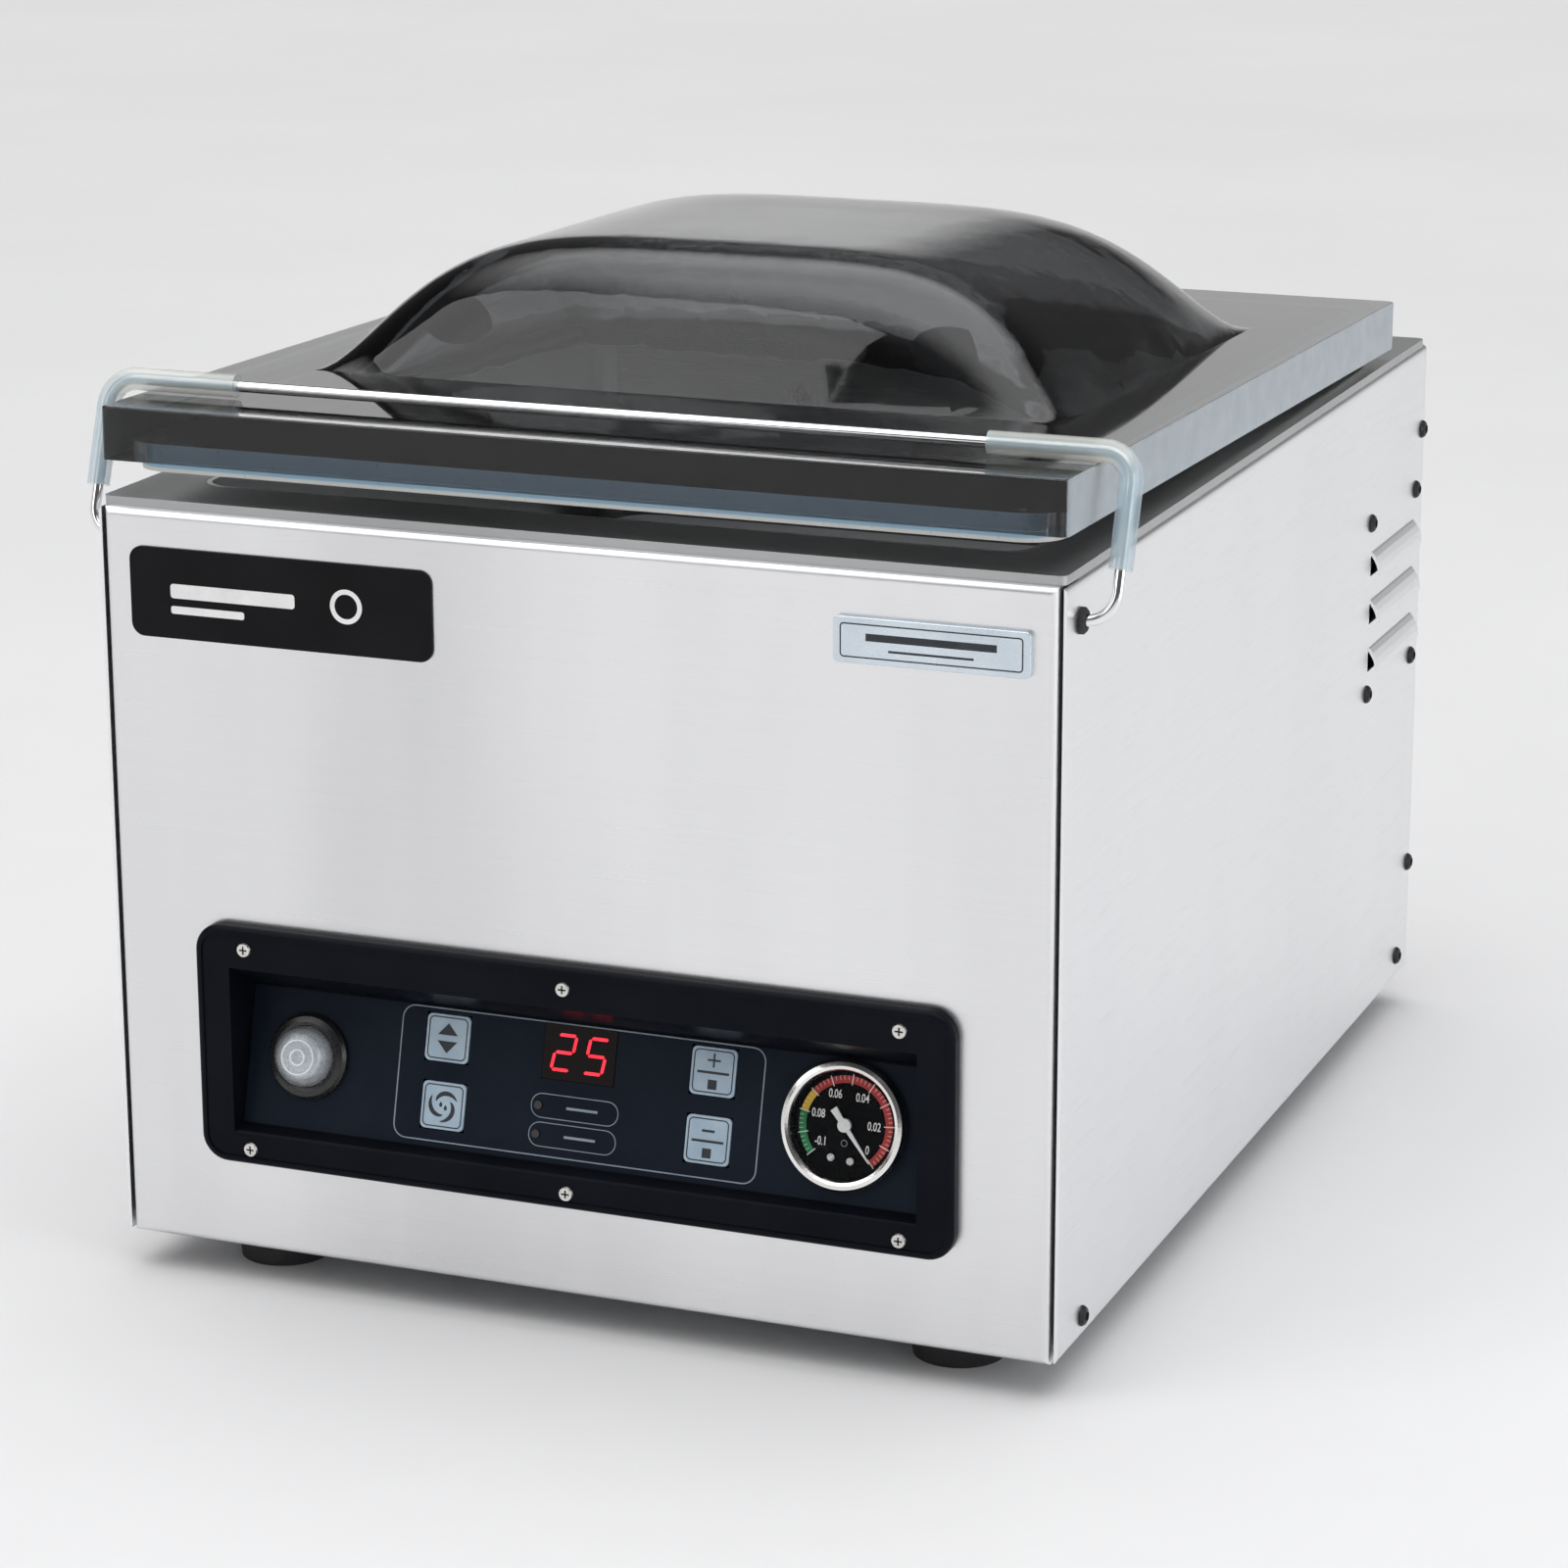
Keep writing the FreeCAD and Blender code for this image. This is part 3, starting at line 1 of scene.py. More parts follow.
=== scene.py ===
import math

import bmesh
import bpy
from mathutils import Matrix, Vector


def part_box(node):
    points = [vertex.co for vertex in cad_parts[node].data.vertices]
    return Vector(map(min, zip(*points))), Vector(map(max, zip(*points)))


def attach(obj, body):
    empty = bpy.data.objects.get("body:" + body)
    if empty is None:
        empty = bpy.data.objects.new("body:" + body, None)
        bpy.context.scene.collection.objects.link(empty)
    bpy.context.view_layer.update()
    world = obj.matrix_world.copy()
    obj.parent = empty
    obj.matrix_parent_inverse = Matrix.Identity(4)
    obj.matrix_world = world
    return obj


# The looks of a countertop chamber vacuum sealer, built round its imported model. The pieces' own drawings
# are in millimetres, in the cabinet's frame (X right, Y back from the front panel's face, Z up from its
# lower edge) or in the sloping keypad's (across, up the slope, out of it). The studio is in metres.

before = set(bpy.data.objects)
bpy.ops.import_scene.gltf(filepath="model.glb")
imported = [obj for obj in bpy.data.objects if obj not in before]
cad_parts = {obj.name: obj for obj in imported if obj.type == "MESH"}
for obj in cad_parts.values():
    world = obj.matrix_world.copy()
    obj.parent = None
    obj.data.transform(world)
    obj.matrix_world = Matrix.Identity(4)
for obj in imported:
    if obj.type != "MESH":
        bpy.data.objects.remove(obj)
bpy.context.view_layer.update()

MM = 0.001

# Places in the part's own drawing
KEYPAD_FOOT = (0, 1.7, 47.8)
KEYPAD_LEAN = 14.8
GAUGE_AT = (100, 27.5, 0)
SWITCH_AT = (-106.5, 27, 0)
KEYS_AT = {
    "up_down": (-52.5, 39.8, 0),
    "mode": (-52, 15.6, 0),
    "plus": (49.8, 40.1, 0),
    "minus": (50, 16.1, 0),
}
KEY_SIDE = 17
LAMP_ROWS = (20.5, 10.3)
BADGE_AT = (-108, 243.25)
NAMEPLATE_AT = (134.25, 249.45)
SCREWS_ACROSS = (-124.7, 0, 124.7)
SCREWS_UP = (40.3, 115.8)

# How far each printed face stands out of its frame's plane, and how thick the print is
FILM_FACE = 0.5
WINDOW_FACE = 0.7
KEY_FACE = 0.9
DIAL_FACE = -0.3
BADGE_FACE = 0.8
NAMEPLATE_FACE = 2.5
SLOT_FLOOR = 5.2
PRINT = 0.03

FRONT_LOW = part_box("front_panel")[0]
CABINET = Matrix.Translation((0, FRONT_LOW.y, FRONT_LOW.z)) @ Matrix.Scale(MM, 4)
SLOPE = Matrix.Rotation(math.radians(90 - KEYPAD_LEAN), 4, "X")
KEYPAD = CABINET @ Matrix.Translation(KEYPAD_FOOT) @ SLOPE
GAUGE = KEYPAD @ Matrix.Translation(GAUGE_AT)
SWITCH = KEYPAD @ Matrix.Translation(SWITCH_AT)

# Where the camera stands, which way it looks, in degrees, and its lens and sensor, in millimetres
EYE = (0.6361, -1.62693, 0.62765)
AZIMUTH = 21.782
ELEVATION = 15.574
ROLL = -0.17017
LENS = 105.8
SENSOR = 36

# The room's grey at stops from straight down (0) to straight up (1), its strength, and the floor's half side
ROOM_SHADES = [(0.0, 0.36), (0.16, 0.35), (0.26, 0.05), (0.70, 0.04), (0.87, 1.1), (1.0, 1.1)]
ROOM_STRENGTH = 2.2
FLOOR_REACH = 9


# Camera and studio


def camera():
    """Stands in front, to the right and a little above, and looks down on the machine."""
    azimuth, elevation, roll = math.radians(AZIMUTH), math.radians(ELEVATION), math.radians(ROLL)
    level = math.cos(elevation)
    ahead = Vector((-math.sin(azimuth) * level, math.cos(azimuth) * level, -math.sin(elevation)))
    right = ahead.cross(Vector((0, 0, 1))).normalized()
    up = right.cross(ahead)
    across = right * math.cos(roll) + up * math.sin(roll)
    upward = up * math.cos(roll) - right * math.sin(roll)
    data = bpy.data.cameras.new("camera")
    data.sensor_width = SENSOR
    data.lens = LENS
    eye = bpy.data.objects.new("camera", data)
    facing = Matrix((across, upward, -ahead)).transposed().to_4x4()
    eye.matrix_world = Matrix.Translation(EYE) @ facing
    bpy.context.scene.collection.objects.link(eye)
    bpy.context.scene.camera = eye


def softbox(name, place, aim, width, height, power, colour=(1, 1, 1)):
    """A soft rectangular light at a place, turned to its aim."""
    data = bpy.data.lights.new(name, "AREA")
    data.shape = "RECTANGLE"
    data.size, data.size_y = width, height
    data.energy = power
    data.color = colour
    lamp = bpy.data.objects.new(name, data)
    lamp.location = place
    lamp.rotation_euler = (Vector(aim) - Vector(place)).to_track_quat("-Z", "Y").to_euler()
    bpy.context.scene.collection.objects.link(lamp)


def studio():
    """Soft light from large boxes, a pale floor and a pale room that is darker overhead."""
    scene = bpy.context.scene
    scene.view_settings.view_transform = "Standard"
    world = bpy.data.worlds.new("studio")
    world.use_nodes = True
    scene.world = world
    tree = world.node_tree
    place = tree.nodes.new("ShaderNodeTexCoord")
    split = tree.nodes.new("ShaderNodeSeparateXYZ")
    ramp = tree.nodes.new("ShaderNodeValToRGB")
    tree.links.new(place.outputs["Generated"], split.inputs[0])
    tree.links.new(split.outputs["Z"], ramp.inputs[0])
    tree.links.new(ramp.outputs["Color"], tree.nodes["Background"].inputs["Color"])
    while len(ramp.color_ramp.elements) < len(ROOM_SHADES):
        ramp.color_ramp.elements.new(0.5)
    for stop, (at, grey) in zip(ramp.color_ramp.elements, ROOM_SHADES):
        stop.position = at
        stop.color = (grey, grey, grey, 1)
    tree.nodes["Background"].inputs["Strength"].default_value = ROOM_STRENGTH
    middle = (0, 0, 0.18)
    softbox("key_light", (-1.5, -1.9, 1.7), middle, 1.6, 1.4, 14)
    softbox("side_light", (2.4, -0.5, 0.9), middle, 1.6, 1.6, 16, (0.96, 0.98, 1))
    corners = [(x * FLOOR_REACH, y * FLOOR_REACH, 0) for x, y in ((-1, -1), (1, -1), (1, 1), (-1, 1))]
    mesh = bpy.data.meshes.new("floor")
    mesh.from_pydata(corners, [], [(0, 1, 2, 3)])
    floor = bpy.data.objects.new("floor", mesh)
    scene.collection.objects.link(floor)
    mesh.materials.append(
        finish("floor", (0.74, 0.74, 0.75), (0.78, 0.78, 0.785), (0.55, 0.7), scale=1.5, grain=40, bump=0.02)
    )


# Materials


def wire(tree, *links):
    """Links pairs of sockets."""
    for source, target in links:
        tree.links.new(source, target)


def pattern(tree, scale, stretch=(1, 1, 1), detail=4.0, roughness=0.55):
    """A noise of `scale` per metre, drawn out along the axes whose stretch is small."""
    place = tree.nodes.new("ShaderNodeTexCoord")
    mapping = tree.nodes.new("ShaderNodeMapping")
    noise = tree.nodes.new("ShaderNodeTexNoise")
    mapping.inputs["Scale"].default_value = stretch
    noise.inputs["Scale"].default_value = scale
    noise.inputs["Detail"].default_value = detail
    noise.inputs["Roughness"].default_value = roughness
    wire(tree, (place.outputs["Object"], mapping.inputs[0]), (mapping.outputs[0], noise.inputs["Vector"]))
    return noise.outputs["Fac"]


def spread(tree, source, low, high, start=0.3, end=0.7):
    """Maps a pattern onto the range low to high."""
    span = tree.nodes.new("ShaderNodeMapRange")
    span.inputs["From Min"].default_value = start
    span.inputs["From Max"].default_value = end
    span.inputs["To Min"].default_value = low
    span.inputs["To Max"].default_value = high
    wire(tree, (source, span.inputs["Value"]))
    return span.outputs[0]


def blended(tree, source, first, second):
    """A colour between two, chosen by a pattern."""
    ramp = tree.nodes.new("ShaderNodeValToRGB")
    ramp.color_ramp.elements[0].position, ramp.color_ramp.elements[1].position = 0.3, 0.7
    ramp.color_ramp.elements[0].color = (*first, 1)
    ramp.color_ramp.elements[1].color = (*second, 1)
    wire(tree, (source, ramp.inputs[0]))
    return ramp.outputs["Color"]


def finish(
    name, first, second, polish, scale=30, grain=900, stretch=(1, 1, 1), bump=0.1, drift=None, **own
):
    """A Principled material: its colour drifts between two shades and its roughness between two values of
    `polish`, over a fine relief. `stretch` draws the relief out along an axis, and `drift` the colour.

    Settings that are even over the surface are given as `own`, by the shader's own socket names."""
    made = bpy.data.materials.new(name)
    made.use_nodes = True
    tree = made.node_tree
    shader = tree.nodes["Principled BSDF"]
    for socket, value in own.items():
        shader.inputs[socket.replace("_", " ")].default_value = value
    broad = pattern(tree, scale, drift or stretch)
    fine = pattern(tree, grain, stretch, 6.0, 0.65)
    relief = tree.nodes.new("ShaderNodeBump")
    relief.inputs["Strength"].default_value = bump
    relief.inputs["Distance"].default_value = 0.0004
    wire(
        tree,
        (blended(tree, broad, first, second), shader.inputs["Base Color"]),
        (spread(tree, fine, *polish), shader.inputs["Roughness"]),
        (fine, relief.inputs["Height"]),
        (relief.outputs[0], shader.inputs["Normal"]),
    )
    return made


def brushed(name, first, second, polish, along, bump=0.03, **own):
    """Sheet steel with fine straight brush lines along an axis, and broad soft bands across them that are
    painted reflections of a darker and lighter room.
    """
    lines = [520, 520, 520]
    lines["xyz".index(along)] = 2.4
    # Painted reflection: the colour drifts in broad stretched bands, darker and lighter, where the steel
    # would mirror the room
    bands = [1, 1, 1]
    bands["xyz".index("z" if along != "z" else "x")] = 0.18
    made = finish(
        name, first, second, polish, scale=5, grain=6, stretch=lines, bump=bump, drift=bands,
        Metallic=1.0, **own,
    )
    tree = made.node_tree
    shader = tree.nodes["Principled BSDF"]
    streaks = pattern(tree, 9, [value * 0.35 for value in lines], 5.0, 0.7)
    mix = tree.nodes.new("ShaderNodeMix")
    mix.data_type = "RGBA"
    mix.blend_type = "MULTIPLY"
    mix.inputs["Factor"].default_value = 1.0
    before = shader.inputs["Base Color"].links[0].from_socket
    wire(
        tree,
        (before, mix.inputs["A"]),
        (blended(tree, streaks, (0.972, 0.972, 0.972), (1, 1, 1)), mix.inputs["B"]),
        (mix.outputs["Result"], shader.inputs["Base Color"]),
    )
    return made


def shaded(made, space, axis, shades):
    """Mixes a material's colour mostly with shades that follow one axis of a coordinate."""
    tree = made.node_tree
    shader = tree.nodes["Principled BSDF"]
    place = tree.nodes.new("ShaderNodeTexCoord")
    split = tree.nodes.new("ShaderNodeSeparateXYZ")
    ramp = tree.nodes.new("ShaderNodeValToRGB")
    mix = tree.nodes.new("ShaderNodeMix")
    mix.data_type = "RGBA"
    mix.inputs["Factor"].default_value = 0.75
    while len(ramp.color_ramp.elements) < len(shades):
        ramp.color_ramp.elements.new(0.5)
    for stop, (at, colour) in zip(ramp.color_ramp.elements, shades):
        stop.position = (at + 1) / 2 if space == "Normal" else at
        stop.color = (*colour, 1)
    level = split.outputs[axis]
    if space == "Normal":
        level = spread(tree, level, 0, 1, -1, 1)
    before = shader.inputs["Base Color"].links[0].from_socket
    wire(
        tree,
        (place.outputs[space], split.inputs[0]),
        (level, ramp.inputs[0]),
        (before, mix.inputs["A"]),
        (ramp.outputs["Color"], mix.inputs["B"]),
        (mix.outputs["Result"], shader.inputs["Base Color"]),
    )


def dress(finishes):
    """Gives each CAD node named under a finish that finish."""
    for material, names in finishes:
        for name in names:
            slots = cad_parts[name].material_slots
            for held in slots:
                held.material = material


# Half the lid's width, in metres, where the acrylic's cut side edges start and are full; they are frosted
# and carry painted light
EDGE_START = 0.1783
EDGE_FULL = 0.1788


def smoked_acrylic():
    """Thick clear acrylic, dark where light goes far through it, and paler at its side edges, which are
    frosted as cut acrylic is and painted pale blue as if lit through.
    """
    made = finish(
        "smoked_acrylic", (0.96, 0.965, 0.97), (1, 1, 1), (0.01, 0.045), scale=12, grain=60, bump=0.004,
        IOR=1.49, Specular_IOR_Level=0.22,
    )
    tree = made.node_tree
    shader = tree.nodes["Principled BSDF"]
    place = tree.nodes.new("ShaderNodeTexCoord")
    split = tree.nodes.new("ShaderNodeSeparateXYZ")
    away = tree.nodes.new("ShaderNodeMath")
    away.operation = "ABSOLUTE"
    wire(tree, (place.outputs["Object"], split.inputs[0]), (split.outputs["X"], away.inputs[0]))
    edge = spread(tree, away.outputs[0], 0, 1, EDGE_START, EDGE_FULL)
    clear = spread(tree, edge, 1.0, 0.5, 0, 1)
    mix = tree.nodes.new("ShaderNodeMix")
    mix.data_type = "RGBA"
    before = shader.inputs["Base Color"].links[0].from_socket
    # Painted light: the side edges are painted pale blue for light that comes through the acrylic. This is
    # besides their real frosting, which also lowers the transmission
    frosted_edge_and_painted_light = blended(tree, pattern(tree, 90), (0.56, 0.65, 0.72), (0.66, 0.74, 0.80))
    wire(
        tree,
        (edge, mix.inputs["Factor"]),
        (before, mix.inputs["A"]),
        (frosted_edge_and_painted_light, mix.inputs["B"]),
        (mix.outputs["Result"], shader.inputs["Base Color"]),
        (clear, shader.inputs["Transmission Weight"]),
    )
    smoke = tree.nodes.new("ShaderNodeVolumeAbsorption")
    smoke.inputs["Color"].default_value = (0.30, 0.31, 0.33, 1)
    smoke.inputs["Density"].default_value = 125
    wire(tree, (smoke.outputs[0], tree.nodes["Material Output"].inputs["Volume"]))
    return made


def ink(name, first, second):
    """Matt printing ink."""
    return finish(name, first, second, (0.4, 0.55), scale=120, bump=0.02)


def glowing(name, first, second, strength):
    """A material that gives off its own colour."""
    made = finish(
        name, first, second, (0.3, 0.45), scale=200, grain=800, bump=0.02, Emission_Strength=strength
    )
    tree = made.node_tree
    glow = blended(tree, pattern(tree, 240), first, second)
    wire(tree, (glow, tree.nodes["Principled BSDF"].inputs["Emission Color"]))
    return made


camera()
studio()

# Metals

# The front's colour spans dark to light steel, so its painted reflection bands stand out
steel_front = brushed(
    "brushed_front", (0.68, 0.68, 0.695), (0.92, 0.92, 0.925), (0.27, 0.32), "x", 0.008, Anisotropic=0.5
)
steel_side = brushed("brushed_side", (0.86, 0.865, 0.88), (0.91, 0.915, 0.925), (0.26, 0.36), "y")
steel_deck = brushed("deck_satin", (0.38, 0.385, 0.39), (0.50, 0.505, 0.51), (0.28, 0.42), "x")
steel_tub = brushed("tub_polished", (0.62, 0.62, 0.62), (0.74, 0.74, 0.74), (0.14, 0.30), "x", 0.04)
steel_rear = brushed("rear_brushed", (0.74, 0.74, 0.75), (0.84, 0.84, 0.85), (0.28, 0.42), "x")
aluminium = brushed("seal_aluminium", (0.70, 0.70, 0.71), (0.80, 0.80, 0.81), (0.26, 0.40), "x")
zinc = finish(
    "zinc_plate", (0.52, 0.54, 0.56), (0.68, 0.70, 0.72), (0.30, 0.55),
    scale=45, grain=300, bump=0.08, Metallic=1.0,
)
black_screw = finish(
    "black_oxide", (0.012, 0.012, 0.013), (0.035, 0.035, 0.037), (0.25, 0.45),
    scale=180, bump=0.06, Metallic=0.6,
)
nickel = finish(
    "nickel", (0.56, 0.55, 0.53), (0.76, 0.75, 0.72), (0.18, 0.34), scale=420, bump=0.05, Metallic=1.0
)
ring_steel = finish(
    "gauge_ring", (0.80, 0.79, 0.77), (0.90, 0.89, 0.87), (0.10, 0.22), scale=60, Metallic=1.0
)
cap_silver = finish(
    "cap_silver", (0.48, 0.51, 0.55), (0.58, 0.61, 0.65), (0.22, 0.34),
    scale=90, grain=900, bump=0.03, Metallic=0.6,
)
plate_silver = finish(
    "nameplate_silver", (0.60, 0.67, 0.74), (0.72, 0.79, 0.85), (0.24, 0.38),
    scale=40, grain=1500, bump=0.05, Metallic=0.75,
)
bright = finish(
    "bright_steel", (0.74, 0.74, 0.75), (0.84, 0.84, 0.85), (0.08, 0.2), scale=80, bump=0.03, Metallic=1.0
)
chrome = finish(
    "chrome_wire", (0.80, 0.80, 0.81), (0.90, 0.90, 0.90), (0.05, 0.12), scale=120, bump=0.02, Metallic=1.0
)
spring = finish(
    "spring_steel", (0.30, 0.30, 0.31), (0.44, 0.44, 0.45), (0.2, 0.36), scale=200, bump=0.1, Metallic=1.0
)
brass = finish(
    "brass", (0.62, 0.42, 0.14), (0.74, 0.52, 0.20), (0.18, 0.34), scale=90, bump=0.08, Metallic=1.0
)
iron = finish(
    "cast_iron", (0.05, 0.08, 0.11), (0.09, 0.12, 0.15), (0.45, 0.7), scale=120, grain=500, bump=0.6
)
motor = finish(
    "motor_paint", (0.02, 0.035, 0.06), (0.035, 0.05, 0.08), (0.25, 0.4), scale=60, grain=600, bump=0.1
)
lamination = finish(
    "laminations", (0.10, 0.09, 0.08), (0.20, 0.17, 0.14), (0.35, 0.6),
    scale=60, grain=40, stretch=(1, 1, 18), bump=0.5, Metallic=0.7,
)

# Rubber, plastic, film and cloth

rubber = finish(
    "black_rubber", (0.012, 0.012, 0.013), (0.024, 0.024, 0.025), (0.62, 0.85), grain=700, bump=0.25
)
disc_black = finish(
    "disc_rubber", (0.002, 0.003, 0.006), (0.004, 0.006, 0.010), (0.5, 0.7),
    scale=90, grain=900, bump=0.05, Specular_IOR_Level=0.1,
)
hose = finish(
    "hose_rubber", (0.016, 0.016, 0.017), (0.03, 0.03, 0.031), (0.4, 0.6), scale=120, grain=900, bump=0.3
)
black_plastic = finish(
    "black_plastic", (0.010, 0.010, 0.011), (0.018, 0.018, 0.02), (0.18, 0.34),
    scale=60, grain=1300, bump=0.06,
)
bezel_plastic = finish(
    "bezel_plastic", (0.003, 0.004, 0.007), (0.006, 0.007, 0.011), (0.26, 0.38),
    scale=25, grain=1500, bump=0.10, Specular_IOR_Level=0.06,
)
film = finish(
    "keypad_film", (0.006, 0.010, 0.018), (0.010, 0.015, 0.025), (0.34, 0.48),
    grain=2600, bump=0.12, Specular_IOR_Level=0.08,
)
key_film = finish(
    "key_film", (0.30, 0.40, 0.50), (0.46, 0.57, 0.66), (0.34, 0.48), scale=60, grain=2200, bump=0.06
)
badge_black = finish(
    "badge_black", (0.005, 0.005, 0.006), (0.009, 0.009, 0.011), (0.30, 0.42),
    grain=1800, bump=0.05, Specular_IOR_Level=0.10,
)
dial_black = finish(
    "dial_black", (0.001, 0.001, 0.0012), (0.002, 0.002, 0.0024), (0.5, 0.65),
    scale=200, bump=0.03, Specular_IOR_Level=0.06,
)
board = finish(
    "solder_mask", (0.006, 0.07, 0.03), (0.012, 0.12, 0.05), (0.25, 0.4), scale=160, grain=500, bump=0.1
)
filler = finish(
    "white_board", (0.74, 0.74, 0.72), (0.82, 0.82, 0.80), (0.42, 0.6),
    scale=30, grain=500, bump=0.08, Subsurface_Weight=0.15,
)
tape = finish(
    "coated_glass_cloth", (0.26, 0.17, 0.10), (0.36, 0.25, 0.16), (0.30, 0.5),
    scale=500, grain=900, bump=0.3,
)
pad = finish(
    "pad_silicone", (0.38, 0.37, 0.35), (0.46, 0.45, 0.43), (0.4, 0.6), scale=50, grain=700, bump=0.12
)

# Clear and see-through pieces

acrylic = smoked_acrylic()
boot = finish(
    "clear_boot", (0.72, 0.77, 0.83), (0.80, 0.85, 0.90), (0.03, 0.06),
    scale=90, grain=200, bump=0.002, Alpha=0.24, Coat_Weight=1.0,
)
glass = finish(
    "gauge_glass", (0.02, 0.025, 0.03), (0.03, 0.035, 0.04), (0.01, 0.04),
    scale=40, grain=120, bump=0.004, Alpha=0.05, Specular_IOR_Level=0.25,
)
display = finish(
    "display_window", (0.003, 0.0004, 0.0006), (0.006, 0.0008, 0.001), (0.12, 0.22),
    scale=80, bump=0.02, Specular_IOR_Level=0.2,
)
lamp = finish(
    "lamp_lens", (0.006, 0.002, 0.002), (0.012, 0.004, 0.004), (0.06, 0.16),
    scale=300, bump=0.01, Coat_Weight=0.6,
)
gasket = finish(
    "gasket_silicone", (0.52, 0.66, 0.74), (0.78, 0.84, 0.86), (0.25, 0.4),
    scale=20, grain=500, bump=0.06, Transmission_Weight=0.2,
)
shaded(gasket, "Generated", "Z", [
    (0.0, (0.94, 0.92, 0.84)), (0.49, (0.94, 0.92, 0.84)), (0.53, (0.24, 0.52, 0.74)),
    (0.82, (0.16, 0.42, 0.66)), (1.0, (0.20, 0.48, 0.70)),
])
sleeve = finish(
    "sleeve_silicone", (0.66, 0.77, 0.82), (0.93, 0.92, 0.85), (0.06, 0.14),
    scale=60, grain=400, bump=0.02, Alpha=0.42, Coat_Weight=1.0,
)
# Painted light: the sleeves' colour follows which way each surface faces. It is near white facing up as a
# painted highlight, pale blue at the sides and amber facing down
shaded(sleeve, "Normal", "Z", [
    (-1.0, (0.90, 0.76, 0.50)), (-0.35, (0.72, 0.72, 0.62)), (0.2, (0.40, 0.60, 0.74)),
    (0.75, (0.80, 0.88, 0.90)), (1.0, (0.96, 0.94, 0.86)),
])

# Inks, and the display's lit figures

print_pale = ink("print_pale", (0.20, 0.25, 0.31), (0.27, 0.32, 0.38))
print_key = ink("print_key", (0.012, 0.016, 0.022), (0.024, 0.029, 0.037))
print_white = ink("print_white", (0.78, 0.78, 0.78), (0.9, 0.9, 0.9))
print_red = ink("print_red", (0.42, 0.022, 0.018), (0.52, 0.035, 0.03))
print_green = ink("print_green", (0.006, 0.19, 0.05), (0.012, 0.26, 0.075))
print_yellow = ink("print_yellow", (0.72, 0.44, 0.02), (0.82, 0.54, 0.04))
segment = glowing("lit_segment", (0.86, 0.012, 0.03), (0.95, 0.03, 0.055), 1.3)

dress([
    (steel_front, ["front_panel"]),
    (steel_side, ["right_side_panel", "left_side_panel"]),
    (steel_deck, ["deck_plate"]),
    (steel_tub, ["chamber_tub", "lid_hinge_straps", "hinge_brackets"]),
    (steel_rear, ["rear_panel"]),
    (zinc, ["base_plate"]),
    (rubber, ["rubber_feet", "pump_mounts", "bail_grommets"]),
    (black_screw, ["side_panel_screws", "fan_screws"]),
    (nickel, ["bezel_screws", "vacuum_port"]),
    (bezel_plastic, ["control_bezel"]),
    (film, ["keypad_overlay"]),
    (key_film, ["key_up_down", "key_mode", "key_plus", "key_minus"]),
    (display, ["display_window"]),
    (lamp, ["indicator_leds"]),
    (board, ["control_board"]),
    (cap_silver, ["power_button_cap"]),
    (black_plastic, ["switch_collar", "switch_body", "fan_housing", "fan_rotor", "power_inlet",
                     "gauge_case", "board_standoffs"]),
    (boot, ["switch_boot"]),
    (glass, ["gauge_glass"]),
    (ring_steel, ["gauge_ring"]),
    (dial_black, ["gauge_dial"]),
    (print_white, ["gauge_needle"]),
    (badge_black, ["left_badge"]),
    (plate_silver, ["nameplate"]),
    (aluminium, ["seal_bar"]),
    (tape, ["seal_tape"]),
    (bright, ["seal_lift_cylinders", "seal_lift_rods", "hinge_pins"]),
    (filler, ["filler_plates"]),
    (acrylic, ["lid_shell"]),
    (gasket, ["lid_gasket"]),
    (pad, ["lid_pad_bar"]),
    (disc_black, ["dome_discs"]),
    (chrome, ["bail_wire"]),
    (sleeve, ["bail_sleeves"]),
    (iron, ["pump_body"]),
    (motor, ["pump_motor"]),
    (lamination, ["transformer"]),
    (brass, ["solenoid_valve"]),
    (hose, ["vacuum_hose", "gauge_hose"]),
    (spring, ["hinge_springs"]),
])


# Printed marks


def add(name, mesh, body, material):
    """Puts a mesh, already in the part's frame, on a body."""
    seam = bmesh.new()
    seam.from_mesh(mesh)
    bmesh.ops.remove_doubles(seam, verts=seam.verts, dist=1e-6)
    bmesh.ops.recalc_face_normals(seam, faces=seam.faces)
    seam.to_mesh(mesh)
    seam.free()
    piece = bpy.data.objects.new(name, mesh)
    bpy.context.scene.collection.objects.link(piece)
    mesh.materials.clear()
    mesh.materials.append(material)
    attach(piece, body)
    return piece


def printed(name, loops, low, high, where, body, material):
    """Closed outlines filled between them, from `low` to `high` out of the plane."""
    curve = bpy.data.curves.new(name, "CURVE")
    curve.dimensions = "2D"
    curve.fill_mode = "BOTH"
    curve.extrude = (high - low) / 2
    for loop in loops:
        spline = curve.splines.new("POLY")
        spline.points.add(len(loop) - 1)
        for point, (x, y) in zip(spline.points, loop):
            point.co = (x, y, 0, 1)
        spline.use_cyclic_u = True
    return solid_from(name, curve, low, high, where, body, material)


def solid_from(name, curve, low, high, where, body, material):
    """Makes a flat curve a solid whose middle lies between `low` and `high` out of the plane."""
    holder = bpy.data.objects.new(name, curve)
    mesh = bpy.data.meshes.new_from_object(holder)
    bpy.data.objects.remove(holder)
    mesh.transform(where @ Matrix.Translation((0, 0, (low + high) / 2)))
    mesh.name = name
    return add(name, mesh, body, material)


def numeral(name, text, at, height, where, low):
    """A white figure of a scale."""
    curve = bpy.data.curves.new(name, "FONT")
    curve.body = text
    curve.align_x, curve.align_y = "CENTER", "CENTER"
    curve.size = height * 1.42
    curve.extrude = 0.02
    curve.offset = 0.035
    placed = where @ Matrix.Translation((*at, 0)) @ Matrix.Diagonal((0.68, 1, 1, 1))
    return solid_from(name, curve, low, low + 0.04, placed, "cabinet", print_white)


